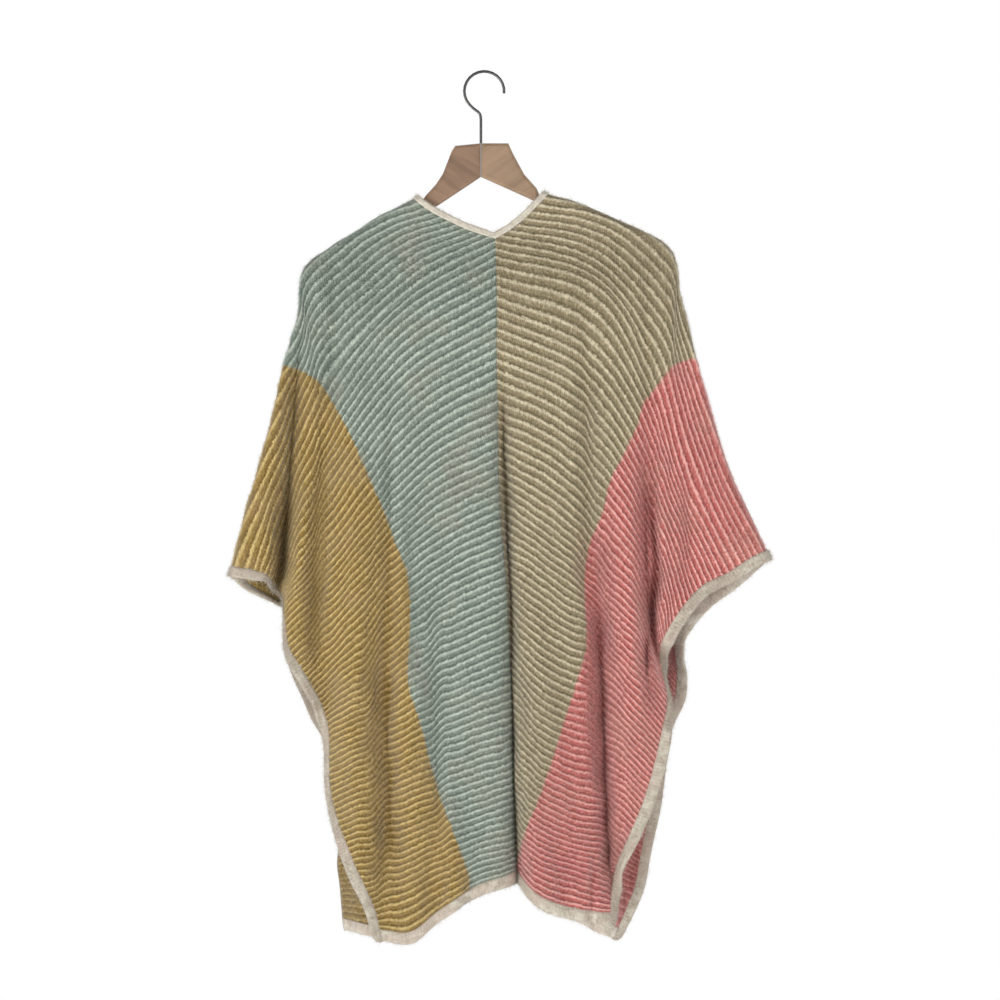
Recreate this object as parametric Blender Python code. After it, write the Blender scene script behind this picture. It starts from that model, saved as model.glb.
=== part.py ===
"""Knitted poncho sweater, hung on a flat wooden hanger.

Metres, +Z up. The origin is the inside top of the hanger's hook. The garment's back faces -Y,
and +X is the wearer's right. Each half panel is a ribbed wall whose ribs run from the centre
seam to the cuff or side edge: rib 0 lies on the shoulder fold and the last rib at the hem.
A place on a panel is given by its rib number and by how far along the rib it lies, from 0 at
the neckline or centre seam to 1 at the cuff or side edge.
"""
import math

import bmesh
import bpy
import numpy as np

MM = 0.001

# ---- Driving sizes of the cloth --------------------------------------------------------------
WALL = 2.6 * MM                # plain thickness of the knit
RIB_RISE = 1.4 * MM            # how far each ridge stands out of the furrows
RIB_COUNT = 80                 # ridges from the shoulder fold to the hem band
SEAM_GAP = 0.3 * MM            # clearance between two pieces sewn together
FOLD_GAP = 0.15 * MM           # each panel's distance from the garment's middle plane
SIDE_BAND_WIDTH = 15 * MM
HEM_BAND_WIDTH = 15 * MM
NECK_BAND_WIDTH = 10 * MM
BAND_RISE = 1.2 * MM           # crown of a band over its edges
BAND_CROWN = 0.55              # place of the crown across a band, as a share of its width
BAND_SMOOTHING = 2             # times a band's turns are evened out along its edge
BAND_CORNERS = ((0.55, 0.9), (1.0, 0.45))   # share down past the hem, share of the width left
BAND_STEP = 0.2                # ribs to either side that give a side edge its direction
NECK_FOOT_GAP = 0.02           # ribs left free under each neckline's lowest point
RIB_STEP = 0.05                # ribs to either side that give the cloth its direction
ALONG_STEP = 0.004             # and share of a rib's length

# ---- Driving sizes of the hanger -------------------------------------------------------------
ARM_THICKNESS = 11.5 * MM
ARM_EDGE_ROUND = 3.6 * MM
ARM_CLEARANCE = 1.9 * MM       # between the arm's top edge and the inside of the shoulder fold
WIRE_RADIUS = 1.9 * MM
HOOK_RADIUS = 24 * MM           # to the middle of the wire
HOOK_FREE_END = -6             # degrees round the hook at which the wire starts
HOOK_TURN_END = 222            # and at which it turns in to the stem
HOOK_STEPS = 17
STEM_STEPS = 6
HOOK_LEAD = 14 * MM            # how far the wire keeps its heading past the hook
STEM_LEAD = 12 * MM            # and before the straight stem
STEM_X = -4 * MM
STEM_BEND_Z = -57 * MM
WOOD_TOP_Z = -85 * MM
# Outlines of the arms in mm, across and down: from the mitre over the top to the shoulder, and
# from the tip back under the arm to the mitre.
ARM_LEFT_NECK = ((-4.2, 85), (-35, 88), (-39, 94), (-50, 122), (-58, 134), (-69, 146),
                 (-75, 154))
ARM_LEFT_FOOT = ((-192, 236), (-184, 238), (-53, 158), (-4.2, 125.5))
ARM_RIGHT_NECK = ((-3.8, 85), (29, 85), (35, 98), (48, 122), (57, 132), (63, 139), (67, 148))
ARM_RIGHT_FOOT = ((199, 219), (190, 220), (53, 151), (-3.8, 125.5))
ARM_STATIONS = (0.02, 0.13, 0.26, 0.36, 0.40)

# Guide ribs of each half, in mm: across from the hook's middle and down from the hook's top.
# Each rib passes through five stations, a quarter of its length apart.
GUIDE_COLUMNS = ("rib", "upper_x", "upper_drop", "middle_x", "middle_drop",
                 "lower_x", "lower_drop", "out_x", "out_drop")
GUIDES_LEFT = (
    (0.0,  -185,  210,  -221,  253,  -259,  425,  -304,  594),
    (4.0,  -103,  263,  -190,  359,  -241,  481,  -289,  601),
    (6.3,   -98,  288,  -175,  379,  -229,  486,  -265,  607),
    (11.2,  -85,  341,  -156,  421,  -210,  515,  -246,  618),
    (16.1,  -72,  391,  -137,  462,  -192,  540,  -239,  630),
    (21.0,  -64,  446,  -126,  511,  -181,  583,  -240,  652),
    (26.2,  -58,  500,  -121,  560,  -176,  625,  -235,  690),
    (31.7,  -52,  556,  -112,  605,  -164,  665,  -217,  720),
    (43.3,  -34,  664,   -90,  702,  -140,  748,  -189,  782),
    (55.6,  -24,  779,   -78,  809,  -130,  839,  -184,  869),
    (69.0,  -14,  894,   -62,  916,  -112,  940,  -153,  956),
    (76.6,   -8,  952,   -52,  974,   -92,  996,  -131, 1007),
    (80.0,   -8,  977,   -53, 1006,   -88, 1032,  -125, 1030),
)
GUIDES_RIGHT = (
    (0.0,   175,  184,   229,  229,   274,  407,   343,  582),
    (4.0,   143,  238,   217,  343,   256,  473,   313,  593),
    (6.2,   138,  258,   204,  366,   241,  490,   295,  602),
    (10.9,  118,  322,   184,  408,   223,  512,   264,  617),
    (15.6,  106,  379,   167,  456,   209,  545,   241,  640),
    (20.3,   97,  436,   157,  504,   203,  584,   221,  670),
    (25.0,   88,  491,   145,  548,   191,  614,   212,  693),
    (30.3,   80,  548,   134,  598,   182,  653,   213,  719),
    (36.0,   79,  604,   133,  647,   179,  699,   220,  753),
    (42.3,   78,  667,   132,  702,   175,  750,   213,  793),
    (54.1,   68,  780,   115,  804,   157,  832,   194,  868),
    (67.9,   64,  896,    98,  914,   137,  925,   162,  949),
    (75.8,   64,  954,    94,  966,   125,  976,   153,  989),
    (80.0,   60,  984,    86,  998,   116, 1006,   152, 1011),
)
# The shoulder fold and the sleeve's upper edge, in mm. The ribs just below it even it out.
SHOULDER_COLUMNS = ("along", "left_x", "left_drop", "right_x", "right_drop")
SHOULDER_LINE = (
    (0.00,  -85, 152,  77, 146),
    (0.13, -120, 170, 120, 160),
    (0.26, -157, 193, 163, 178),
    (0.38, -193, 215, 199, 195),
    (0.44, -209, 226, 215, 205),
    (0.48, -218, 237, 227, 217),
    (0.52, -222, 252, 232, 233),
    (0.58, -223, 284, 235, 262),
    (0.64, -231, 315, 242, 292),
    (0.72, -243, 358, 256, 347),
    (0.80, -254, 410, 271, 403),
    (0.90, -278, 497, 298, 487),
    (0.95, -291, 542, 317, 529),
    (1.00, -304, 588, 340, 571),
)
SHOULDER_REACH = 7             # ribs over which the line's own form fades out
# The centre seam, which both halves share, and the back neckline from the shoulder to its foot.
SEAM_COLUMNS = ("rib", "x", "drop")
CENTRE_SEAM = (
    (4.0,   13,  200),
    (6.3,   14,  222),
    (11.2,  15,  282),
    (16.1,  15,  343),
    (21.0,  16,  403),
    (26.2,  17,  463),
    (31.7,  19,  521),
    (43.3,  28,  635),
    (55.6,  34,  758),
    (69.0,  37,  878),
    (76.6,  39,  940),
    (80.0,  40,  962),
)
NECK_COLUMNS = ("rib", "left_x", "left_drop", "right_x", "right_drop")
NECKLINE = (
    (0.0, -85, 152, 77, 146),
    (1.0, -68, 165, 64, 160),
    (2.0, -46, 177, 49, 175),
    (3.0, -20, 189, 33, 188),
    (4.0,  13, 200, 13, 200),
)

# How far, in mm, the cloth stands from the middle plane, at the inner and outer end of a rib.
SPREAD_COLUMNS = ("rib", "at_centre", "at_side")
SPREAD_BACK = (
    (0, 12, 24),
    (6, 12, 24),
    (12, 15, 34),
    (21, 22, 42),
    (35, 32, 42),
    (55, 38, 40),
    (80, 40, 36),
)
SPREAD_FRONT = (
    (0, 12, 24),
    (6, 12, 30),
    (12, 15, 42),
    (21, 22, 44),
    (35, 32, 42),
    (55, 38, 40),
    (80, 40, 34),
)
WRAP_REACH = 10 * MM           # height over which the cloth rolls over the shoulder fold
WRAP_BLUNTNESS = 2.6           # 2 is a round roll, more is squarer
FOLD_RIBS = 0.1                # ribs that may lie on the middle plane
STAND_START = 0.15             # share of a rib's length at which the stand starts to change
STAND_RUN = 0.75               # and over which it does so

# The deep valley between sleeve and body, which swallows the ribs under the arm: at each place
# along the ribs, the rib on its floor, its depth in mm, and its walls' width in ribs.
VALLEY_COLUMNS = ("along", "floor_rib", "depth", "toward_sleeve", "toward_body")
VALLEY_LEFT = (
    (0.45, 1.0, 0, 3, 4),
    (0.60, 3.5, 5, 3.5, 4.5),
    (0.76, 6.5, 18, 4.5, 5),
    (0.92, 11.0, 42, 6, 6.5),
    (1.00, 13.0, 50, 7, 8),
)
VALLEY_RIGHT = (
    (0.45, 6.0, 0, 3, 5),
    (0.62, 12.0, 9, 4, 6),
    (0.75, 18.0, 26, 4.5, 8),
    (0.87, 24.0, 40, 5, 9),
    (0.93, 27.0, 26, 6, 9),
    (1.00, 29.0, 4, 7, 9),
)
FRONT_VALLEY = 0.12            # the front's valleys, as a share of the back's

# How far, in mm, a side edge curls in behind the panel, over the last of each rib.
CURL_COLUMNS = ("rib", "back_left", "back_right", "front_left", "front_right")
EDGE_CURL = (
    (0, 0, 0, 0, 0),
    (13, 0, 0, 0, 0),
    (17, 20, 0, 0, 0),
    (24, 20, 0, 0, 0),
    (30, 0, 0, 0, 0),
    (37, 0, 0, 0, 0),
    (42, 10, 0, 0, 0),
    (48, 26, 0, 0, 0),
    (56, 28, 0, 0, 0),
    (61, 10, 0, 0, 0),
    (66, 0, 0, 8, 0),
    (70, 0, 0, 22, 0),
    (80, 0, 0, 22, 0),
)
CURL_START = 0.84
FOLD_GROWTH = 0.45             # share of a hanging fold's length over which it deepens
FOLD_FADE = 0.2                # and over which it fades out again

# Hanging folds: a line in mm, the fold's depth (+ is a trough, - a ridge) and its half widths.
FOLD_COLUMNS = ("top_x", "top_drop", "foot_x", "foot_drop", "depth", "left", "right")
FOLDS_BACK_LEFT = {
    "under_arm_trough": (-200, 390, -196, 720, 13, 14, 14),
    "side_ridge": (-165, 640, -150, 1120, -8, 20, 20),
    "hem_trough": (-124, 690, -106, 1160, 16, 16, 11),
    "middle_ridge": (-92, 420, -86, 1160, -9, 24, 24),
    "inner_trough": (-50, 760, -40, 1130, 10, 20, 22),
}
FOLDS_BACK_RIGHT = {
    "waist_trough": (118, 430, 128, 700, 9, 16, 16),
    "hem_trough": (143, 660, 150, 1130, 20, 13, 11),
    "flap_trough": (242, 480, 243, 640, 6, 13, 13),
    "middle_ridge": (75, 520, 92, 1120, -7, 26, 26),
}
FOLDS_FRONT_LEFT = {
    "side_trough": (-150, 560, -135, 1150, 14, 18, 18),
    "middle_ridge": (-80, 460, -74, 1150, -10, 26, 26),
}
FOLDS_FRONT_RIGHT = {
    "side_trough": (150, 600, 140, 1150, 15, 18, 18),
    "middle_ridge": (95, 480, 90, 1150, -9, 26, 26),
}
# The fold that runs down the centre seam: start, full depth's drop, depth and half width in mm.
SEAM_FOLD_START = 370
SEAM_FOLD_FULL = 620
SEAM_FOLD_DEPTH = 24
SEAM_FOLD_WIDTH = 17
SEAM_FOLD_POWER = 1.5          # 2 is a round floor, less is more of a crease
SEAM_FOLD_FRONT = 0.7          # the front's depth, as a share of the back's

# The front's neckline starts further along its upper ribs, and its side edge lies further out.
FRONT_NECK_COLUMNS = ("rib", "start")
FRONT_NECK = ((0, 0.0), (2, 0.07), (4, 0.125), (7, 0.09), (10, 0.035), (12, 0.0), (80, 0.0))
BACK_NECK_FOOT = 4             # rib at the lowest point of each neckline
FRONT_NECK_FOOT = 12
SHIFT_COLUMNS = ("rib", "across", "down")
SHIFT_SHARE = 0.4              # how much of a side edge's shift the station before it takes
FRONT_SHIFT_LEFT = (
    (0, 0, 0),
    (4, 1, 6),
    (11, 2, 9),
    (16, 5, 8),
    (21, 6, 6),
    (26, 3, 2),
    (31, -8, 0),
    (37, -12, 0),
    (43, -9, 0),
    (48, 7, 0),
    (52, 12, 0),
    (60, 10, 0),
    (64, 1, 0),
    (69, -12, -2),
    (73, -23, -4),
    (77, -32, -8),
    (80, -35, -10),
)
FRONT_SHIFT_RIGHT = (
    (0, 0, 0),
    (4, -4, 9),
    (6, -2, 13),
    (11, 5, 16),
    (16, 8, 16),
    (20, 16, 10),
    (25, 18, 10),
    (30, 19, 4),
    (36, 8, 0),
    (42, 2, 0),
    (48, 5, 0),
    (54, 11, 0),
    (61, 20, 0),
    (68, 27, 0),
    (76, 25, 6),
    (80, 9, 22),
)

# The line between the upper and the lower block of colour, in mm.
COLOUR_COLUMNS = ("drop", "left_x", "right_x")
COLOUR_LINE = (
    (345, -260, 262),
    (358, -212, 244),
    (380, -194, 207),
    (425, -167, 190),
    (478, -143, 165),
    (530, -120, 145),
    (600, -92, 121),
    (693, -90, 123),
    (780, -77, 90),
    (870, -54, 62),
    (965, -18, 38),
)

# Places along the ribs where the panels have a column of points.
BACK_COLUMNS = (0.0, 0.05, 0.14, 0.27, 0.39, 0.47, 0.54, 0.65, 0.77, 0.89, 1.0)
FRONT_COLUMNS = (0.0, 0.2, 0.42, 0.5, 0.64, 0.82, 1.0)

COLOURS = {
    "sage": (0.27, 0.32, 0.25),
    "khaki": (0.36, 0.29, 0.18),
    "mustard": (0.36, 0.24, 0.10),
    "coral": (0.52, 0.19, 0.16),
    "cream": (0.56, 0.47, 0.36),
    "beech": (0.32, 0.20, 0.13),
    "steel": (0.10, 0.10, 0.10),
}


def smooth_rows(knots, values, at):
    """Reads a table between its rows, with a curve through all of them."""
    knots = np.asarray(knots, float)
    values = np.asarray(values, float)
    at = np.clip(at, knots[0], knots[-1])
    steps = np.diff(knots)
    slopes = np.diff(values, axis=0) / steps.reshape(-1, *([1] * (values.ndim - 1)))
    tangents = np.empty_like(values)
    tangents[0], tangents[-1] = slopes[0], slopes[-1]
    before = (steps[1:] / (steps[:-1] + steps[1:])).reshape(-1, *([1] * (values.ndim - 1)))
    tangents[1:-1] = slopes[:-1] * before + slopes[1:] * (1 - before)
    cell = np.clip(np.searchsorted(knots, at, side="right") - 1, 0, len(steps) - 1)
    width = steps[cell]
    s = (at - knots[cell]) / width
    lift = tuple(s.shape) + (1,) * (values.ndim - 1)
    s, width = s.reshape(lift), width.reshape(lift)
    return ((2 * s**3 - 3 * s**2 + 1) * values[cell] + (s**3 - 2 * s**2 + s) * width * tangents[cell]
            + (3 * s**2 - 2 * s**3) * values[cell + 1] + (s**3 - s**2) * width * tangents[cell + 1])


def ease(value):
    """A soft step from 0 to 1."""
    value = np.clip(value, 0.0, 1.0)
    return value * value * (3 - 2 * value)


def column(table, names, *wanted):
    """One or more columns of a table, by their names."""
    values = np.array([[row[names.index(name)] for name in wanted] for row in table], float)
    return values[:, 0] if len(wanted) == 1 else values


def rib_curve(stations, along):
    """Places along ribs that pass through five stations each."""
    quarter = np.clip((along * 4).astype(int), 0, 3)
    s = (along * 4 - quarter)[:, None]
    points = [stations[:, 0] * 2 - stations[:, 1]] + [stations[:, i] for i in range(5)]
    points.append(stations[:, 4] * 2 - stations[:, 3])
    points = np.stack(points, axis=1)
    row = np.arange(len(along))
    p0, p1, p2, p3 = (points[row, quarter + i] for i in range(4))
    return 0.5 * (2 * p1 + (p2 - p0) * s + (2 * p0 - 5 * p1 + 4 * p2 - p3) * s**2
                  + (3 * p1 - p0 - 3 * p2 + p3) * s**3)


class HalfPanel:
    """One quarter of the garment: the left or right half of the back or the front."""

    def __init__(self, guides, valley, folds, spread, side, front_shift=None):
        self.guides = guides
        self.valley = valley
        self.folds = folds
        self.spread = spread
        self.side = side
        self.front_shift = front_shift
        self.is_front = front_shift is not None
        self.word = "left" if side < 0 else "right"
        self.own_columns = (self.word + "_x", self.word + "_drop")

    def inner_end(self, rib):
        """Where a rib starts: on the back neckline, or beside the centre seam."""
        seam_ribs = column(CENTRE_SEAM, SEAM_COLUMNS, "rib")
        on_seam = smooth_rows(seam_ribs, column(CENTRE_SEAM, SEAM_COLUMNS, "x", "drop"), rib)
        on_neck = smooth_rows(column(NECKLINE, NECK_COLUMNS, "rib"),
                              column(NECKLINE, NECK_COLUMNS, *self.own_columns), rib)
        place = np.where((rib < seam_ribs[0])[:, None], on_neck, on_seam)
        place[:, 0] += self.side * SEAM_GAP / MM
        return place

    def flat_place(self, rib, along):
        """Across and down places of points on the ribs, in metres."""
        guides = column(self.guides, GUIDE_COLUMNS, *GUIDE_COLUMNS[1:]).reshape(-1, 4, 2)
        stations = smooth_rows(column(self.guides, GUIDE_COLUMNS, "rib"), guides, rib)
        stations = np.concatenate([self.inner_end(rib)[:, None], stations], axis=1)
        if self.is_front:
            start = np.interp(rib, column(FRONT_NECK, FRONT_NECK_COLUMNS, "rib"),
                              column(FRONT_NECK, FRONT_NECK_COLUMNS, "start"))
            along = start + (1 - start) * along
            moved = smooth_rows(column(self.front_shift, SHIFT_COLUMNS, "rib"),
                                column(self.front_shift, SHIFT_COLUMNS, "across", "down"), rib)
            stations[:, 4] += moved
            stations[:, 3] += SHIFT_SHARE * moved
        top = np.concatenate([self.inner_end(np.zeros(1)), guides[0]])
        top = np.broadcast_to(top, stations.shape)
        line = smooth_rows(column(SHOULDER_LINE, SHOULDER_COLUMNS, "along"),
                           column(SHOULDER_LINE, SHOULDER_COLUMNS, *self.own_columns), along)
        share = (1 - ease(rib / SHOULDER_REACH))[:, None]
        return (rib_curve(stations, along) + share * (line - rib_curve(top, along))) * MM

    def hanging_folds(self, across, down):
        """Depth of the hanging folds at a place, + away from the viewer."""
        depth = np.zeros_like(across)
        for row in self.folds.values():
            top_x, top_drop, foot_x, foot_drop, height, left, right = column(
                [row], FOLD_COLUMNS, *FOLD_COLUMNS)[0]
            part = (down / MM - top_drop) / (foot_drop - top_drop)
            off = across / MM - (top_x + (foot_x - top_x) * part)
            half = np.where(off < 0, left, right)
            grown = ease(part / FOLD_GROWTH) * ease((1 - part) / FOLD_FADE)
            depth += height * grown * np.exp(-(off / half) ** 2)
        return depth * MM

    def seam_fold(self, rib, along, down):
        start = self.flat_place(rib, np.zeros_like(along))
        here = self.flat_place(rib, along)
        away = np.linalg.norm(here - start, axis=1) / MM
        grown = ease((down / MM - SEAM_FOLD_START) / (SEAM_FOLD_FULL - SEAM_FOLD_START))
        share = SEAM_FOLD_FRONT if self.is_front else 1.0
        shape = np.exp(-(away / SEAM_FOLD_WIDTH) ** SEAM_FOLD_POWER)
        return SEAM_FOLD_DEPTH * share * grown * shape * MM

    def valley_depth(self, rib, along):
        start = column(self.valley, VALLEY_COLUMNS, "along")
        floor, depth, outer, inner = smooth_rows(
            start, column(self.valley, VALLEY_COLUMNS, *VALLEY_COLUMNS[1:]), along).T
        off = rib - floor
        off = off / np.where(off < 0, outer, inner)
        shape = np.cos(np.clip(off, -1, 1) * math.pi / 2) ** 2
        share = FRONT_VALLEY if self.is_front else 1.0
        return np.where(along > start[0], depth, 0.0) * share * shape * MM

    def edge_curl(self, rib, along):
        name = ("front_" if self.is_front else "back_") + self.word
        curl = np.interp(rib, column(EDGE_CURL, CURL_COLUMNS, "rib"),
                         column(EDGE_CURL, CURL_COLUMNS, name))
        if self.is_front:
            curl = -curl
        return curl * np.clip((along - CURL_START) / (1 - CURL_START), 0, 1) ** 2 * MM

    def point(self, rib, along):
        """Points of the plain outer face, before the ribs are raised."""
        rib, along = (np.atleast_1d(v).astype(float) for v in np.broadcast_arrays(rib, along))
        place = self.flat_place(rib, along)
        fold_line = self.flat_place(np.zeros_like(rib), along)
        reach = np.linalg.norm(place - fold_line, axis=1) / WRAP_REACH
        near = np.clip(1 - reach, 0.0, 1.0)
        wrap = (1 - near**WRAP_BLUNTNESS) ** (1 / WRAP_BLUNTNESS)
        half = smooth_rows(column(self.spread, SPREAD_COLUMNS, "rib"),
                           column(self.spread, SPREAD_COLUMNS, "at_centre", "at_side"), rib) * MM
        reached = ease((along - STAND_START) / STAND_RUN)
        stand = half[:, 0] + (half[:, 1] - half[:, 0]) * reached
        inward = (self.hanging_folds(place[:, 0], place[:, 1])
                  + self.seam_fold(rib, along, place[:, 1]) + self.valley_depth(rib, along)
                  + self.edge_curl(rib, along))
        out = FOLD_GAP + stand * wrap - inward * np.clip(reach / 3, 0.0, 1.0)
        facing = 1.0 if self.is_front else -1.0
        return np.stack([place[:, 0], facing * out, -place[:, 1]], axis=1)

    def frame(self, rib, along):
        """Directions along the rib, down the ribs and out of the cloth."""
        rib, along = (np.atleast_1d(v).astype(float) for v in np.broadcast_arrays(rib, along))
        low, high = np.clip((rib - RIB_STEP, rib + RIB_STEP), 0, RIB_COUNT)
        near, far = np.clip((along - ALONG_STEP, along + ALONG_STEP), 0, 1)
        down = self.point(high, along) - self.point(low, along)
        out_along = self.point(rib, far) - self.point(rib, near)
        down /= np.linalg.norm(down, axis=1)[:, None]
        out_along /= np.linalg.norm(out_along, axis=1)[:, None]
        normal = np.cross(down, out_along)
        normal /= np.linalg.norm(normal, axis=1)[:, None]
        facing = self.side if self.is_front else -self.side
        return out_along, down, normal * -facing

    def wall_points(self, rib, along, height):
        """Points at a height over the plain outer face, below it where the height is negative."""
        place = self.point(rib, along) + self.frame(rib, along)[2] * np.reshape(height, (-1, 1))
        facing = 1.0 if self.is_front else -1.0
        depth = facing * place[:, 1]
        place[:, 1] = facing * np.where(rib < FOLD_RIBS, np.maximum(depth, FOLD_GAP), depth)
        return place


def inner_ribs(dense_until, step_after):
    """Rib numbers at which the plain inside and the edges of a panel have points."""
    fine = [0, 0.12, 0.35, 0.7, 1, 1.5] + list(range(2, dense_until + 1))
    return np.array(fine + list(range(dense_until + step_after, RIB_COUNT + 1, step_after)), float)


def outer_ribs():
    """Furrows at whole rib numbers and ridges between them, and a fine start on the fold."""
    return np.array([0, 0.12] + [0.5 * i for i in range(1, 2 * RIB_COUNT + 1)])


def stitch(faces, first, first_at, second, second_at, flip):
    """Fills the strip between two columns of points that have different rows."""
    i = j = 0
    while i < len(first) - 1 or j < len(second) - 1:
        step_first = j == len(second) - 1 or (
            i < len(first) - 1 and first_at[i + 1] <= second_at[j + 1])
        if step_first:
            face = (first[i], first[i + 1], second[j])
            i += 1
        else:
            face = (first[i], second[j + 1], second[j])
            j += 1
        faces.append(face[::-1] if flip else face)


def strip(faces, first, second, flip):
    """Fills the strip between two rows of points that match one to one."""
    for a, b, c, d in zip(first, first[1:], second[1:], second):
        faces.append((a, b, c, d)[::-1] if flip else (a, b, c, d))


def make_mesh_object(name, points, faces, materials):
    mesh = bpy.data.meshes.new(name)
    mesh.from_pydata([tuple(p) for p in points], [], faces)
    mesh.validate()
    solid = bpy.data.objects.new(name, mesh)
    GARMENT.objects.link(solid)
    for material in materials:
        mesh.materials.append(material)
    fix = bmesh.new()
    fix.from_mesh(mesh)
    bmesh.ops.triangulate(fix, faces=fix.faces)
    bmesh.ops.recalc_face_normals(fix, faces=fix.faces)
    fix.to_mesh(mesh)
    fix.free()
    mesh.shade_smooth()
    mesh.set_sharp_from_angle(angle=math.radians(50))
    return solid


def make_panel(name, panel, columns, inner_at, upper_colour, lower_colour):
    """A wall with ribs raised in its outer points over a plain inside."""
    points = []

    def add(rib, along, height):
        new = panel.wall_points(rib, along, height)
        first = len(points)
        points.extend(new)
        return list(range(first, first + len(new)))

    outer_at = outer_ribs()
    ridge = np.where(outer_at % 1 == 0.5, RIB_RISE, 0.0)
    edge_columns = (columns[0], columns[-1])
    outer, inner = [], []
    for along in columns:
        at = inner_at if along in edge_columns else outer_at
        height = np.zeros(len(at)) if along in edge_columns else ridge
        outer.append(add(at, np.full(len(at), along), height))
        inner.append(add(inner_at, np.full(len(inner_at), along), np.full(len(inner_at), -WALL)))
    faces = []
    at_of = [inner_at if c in edge_columns else outer_at for c in columns]
    for k in range(len(columns) - 1):
        stitch(faces, outer[k], at_of[k], outer[k + 1], at_of[k + 1], False)
        strip(faces, inner[k], inner[k + 1], True)
    strip(faces, outer[0], inner[0], True)
    strip(faces, outer[-1], inner[-1], False)
    for end in (0, -1):
        strip(faces, [c[end] for c in outer], [c[end] for c in inner], end == 0)
    solid = make_mesh_object(name, points, faces, (upper_colour, lower_colour))
    colour_by_block(solid, panel.side)
    return solid


def colour_by_block(solid, side):
    line_drop = column(COLOUR_LINE, COLOUR_COLUMNS, "drop") * MM
    line_x = column(COLOUR_LINE, COLOUR_COLUMNS, "left_x" if side < 0 else "right_x") * MM
    for face in solid.data.polygons:
        limit = np.interp(-face.center.z, line_drop, line_x)
        beyond = (face.center.x - limit) * side > 0
        if beyond and -face.center.z > line_drop[0]:
            face.material_index = 1


def ring_faces(rings, closed):
    """Faces of a tube through rings of points, with its ends capped unless it is closed."""
    faces = []
    count = len(rings[0])
    pairs = list(zip(rings, rings[1:] + rings[:1])) if closed else list(zip(rings, rings[1:]))
    for first, second in pairs:
        for i in range(count):
            j = (i + 1) % count
            faces.append((first[i], first[j], second[j], second[i]))
    if not closed:
        faces.append(tuple(rings[0][::-1]))
        faces.append(tuple(rings[-1]))
    return faces


def band_section(edge, sewn, lean, width):
    """Five points round a band: its sewn edge, its crown and its free edge.

    sewn and lean are pairs of directions, out of the panel's edge and out of the cloth: the sewn
    edge keeps to the panel's wall, and the band itself to the evened-out ones.
    """
    start = edge + sewn[0] * SEAM_GAP
    end = edge + lean[0] * width
    crown = edge + lean[0] * width * BAND_CROWN + lean[1] * BAND_RISE
    return [start, crown, end, end - lean[1] * WALL, start - sewn[1] * WALL]


def make_band(name, sections, closed):
    points, rings = [], []
    for section in sections:
        rings.append(list(range(len(points), len(points) + len(section))))
        points.extend(section)
    return make_mesh_object(name, points, ring_faces(rings, closed), (MATERIALS["cream"],))


def even_out(directions):
    """Directions along a band with their sudden turns taken out."""
    for _ in range(BAND_SMOOTHING):
        ends = directions[:1], directions[-1:]
        middle = (directions[:-2] + 2 * directions[1:-1] + directions[2:]) / 4
        directions = np.concatenate([ends[0], middle, ends[1]])
    return directions / np.linalg.norm(directions, axis=1)[:, None]


def edge_directions(panel, ribs, along):
    """Along a panel's side edge, and the sewn and the evened-out directions of its band."""
    low, high = np.clip((ribs - BAND_STEP, ribs + BAND_STEP), 0, RIB_COUNT)
    edge = panel.point(high, along) - panel.point(low, along)
    edge /= np.linalg.norm(edge, axis=1)[:, None]
    out_along, _, normal = panel.frame(ribs, along)
    if along[0] < 0.5:
        out_along = -out_along
    outward = out_along - edge * np.sum(out_along * edge, axis=1)[:, None]
    outward /= np.linalg.norm(outward, axis=1)[:, None]
    return edge, (outward, normal), (even_out(outward), even_out(normal))


def edge_sections(panel, ribs, along, width):
    along = np.full(len(ribs), along)
    edge, sewn, lean = edge_directions(panel, ribs, along)
    points = panel.point(ribs, along)
    sections = [band_section(points[i], (sewn[0][i], sewn[1][i]), (lean[0][i], lean[1][i]), width)
                for i in range(len(ribs))]
    return sections, points[-1], edge[-1], (lean[0][-1], lean[1][-1])


def side_sections(panel, ribs):
    sections, last, edge, lean = edge_sections(panel, ribs, 1.0, SIDE_BAND_WIDTH)
    for drop, width in BAND_CORNERS:
        foot = last + edge * (HEM_BAND_WIDTH * drop + SEAM_GAP)
        sections.append(band_section(foot, lean, lean, SIDE_BAND_WIDTH * width))
    return sections


def make_side_band(name, back, back_ribs, front, front_ribs):
    """One strip: up the back's side edge, round the cuff, over the fold and down the front."""
    back_part = side_sections(back, back_ribs)[::-1]
    front_part = side_sections(front, front_ribs)
    return make_band(name, back_part + front_part, False)


def hem_sections(panel, columns):
    along = np.array(columns)
    ribs = np.full(len(along), float(RIB_COUNT))
    points = panel.point(ribs, along)
    _, down, normal = panel.frame(ribs, along)
    return [band_section(points[i], (down[i], normal[i]), (down[i], normal[i]), HEM_BAND_WIDTH)
            for i in range(len(along))]


def make_hem_band(name, left, right, columns):
    left_part = hem_sections(left, columns)[::-1]
    right_part = hem_sections(right, columns)
    return make_band(name, left_part[:-1] + merge_sections(left_part[-1], right_part[0])
                     + right_part[1:], False)


def merge_sections(first, second):
    """One section half way between two that meet at the centre seam."""
    return [[(a + b) / 2 for a, b in zip(first, second)]]


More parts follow.
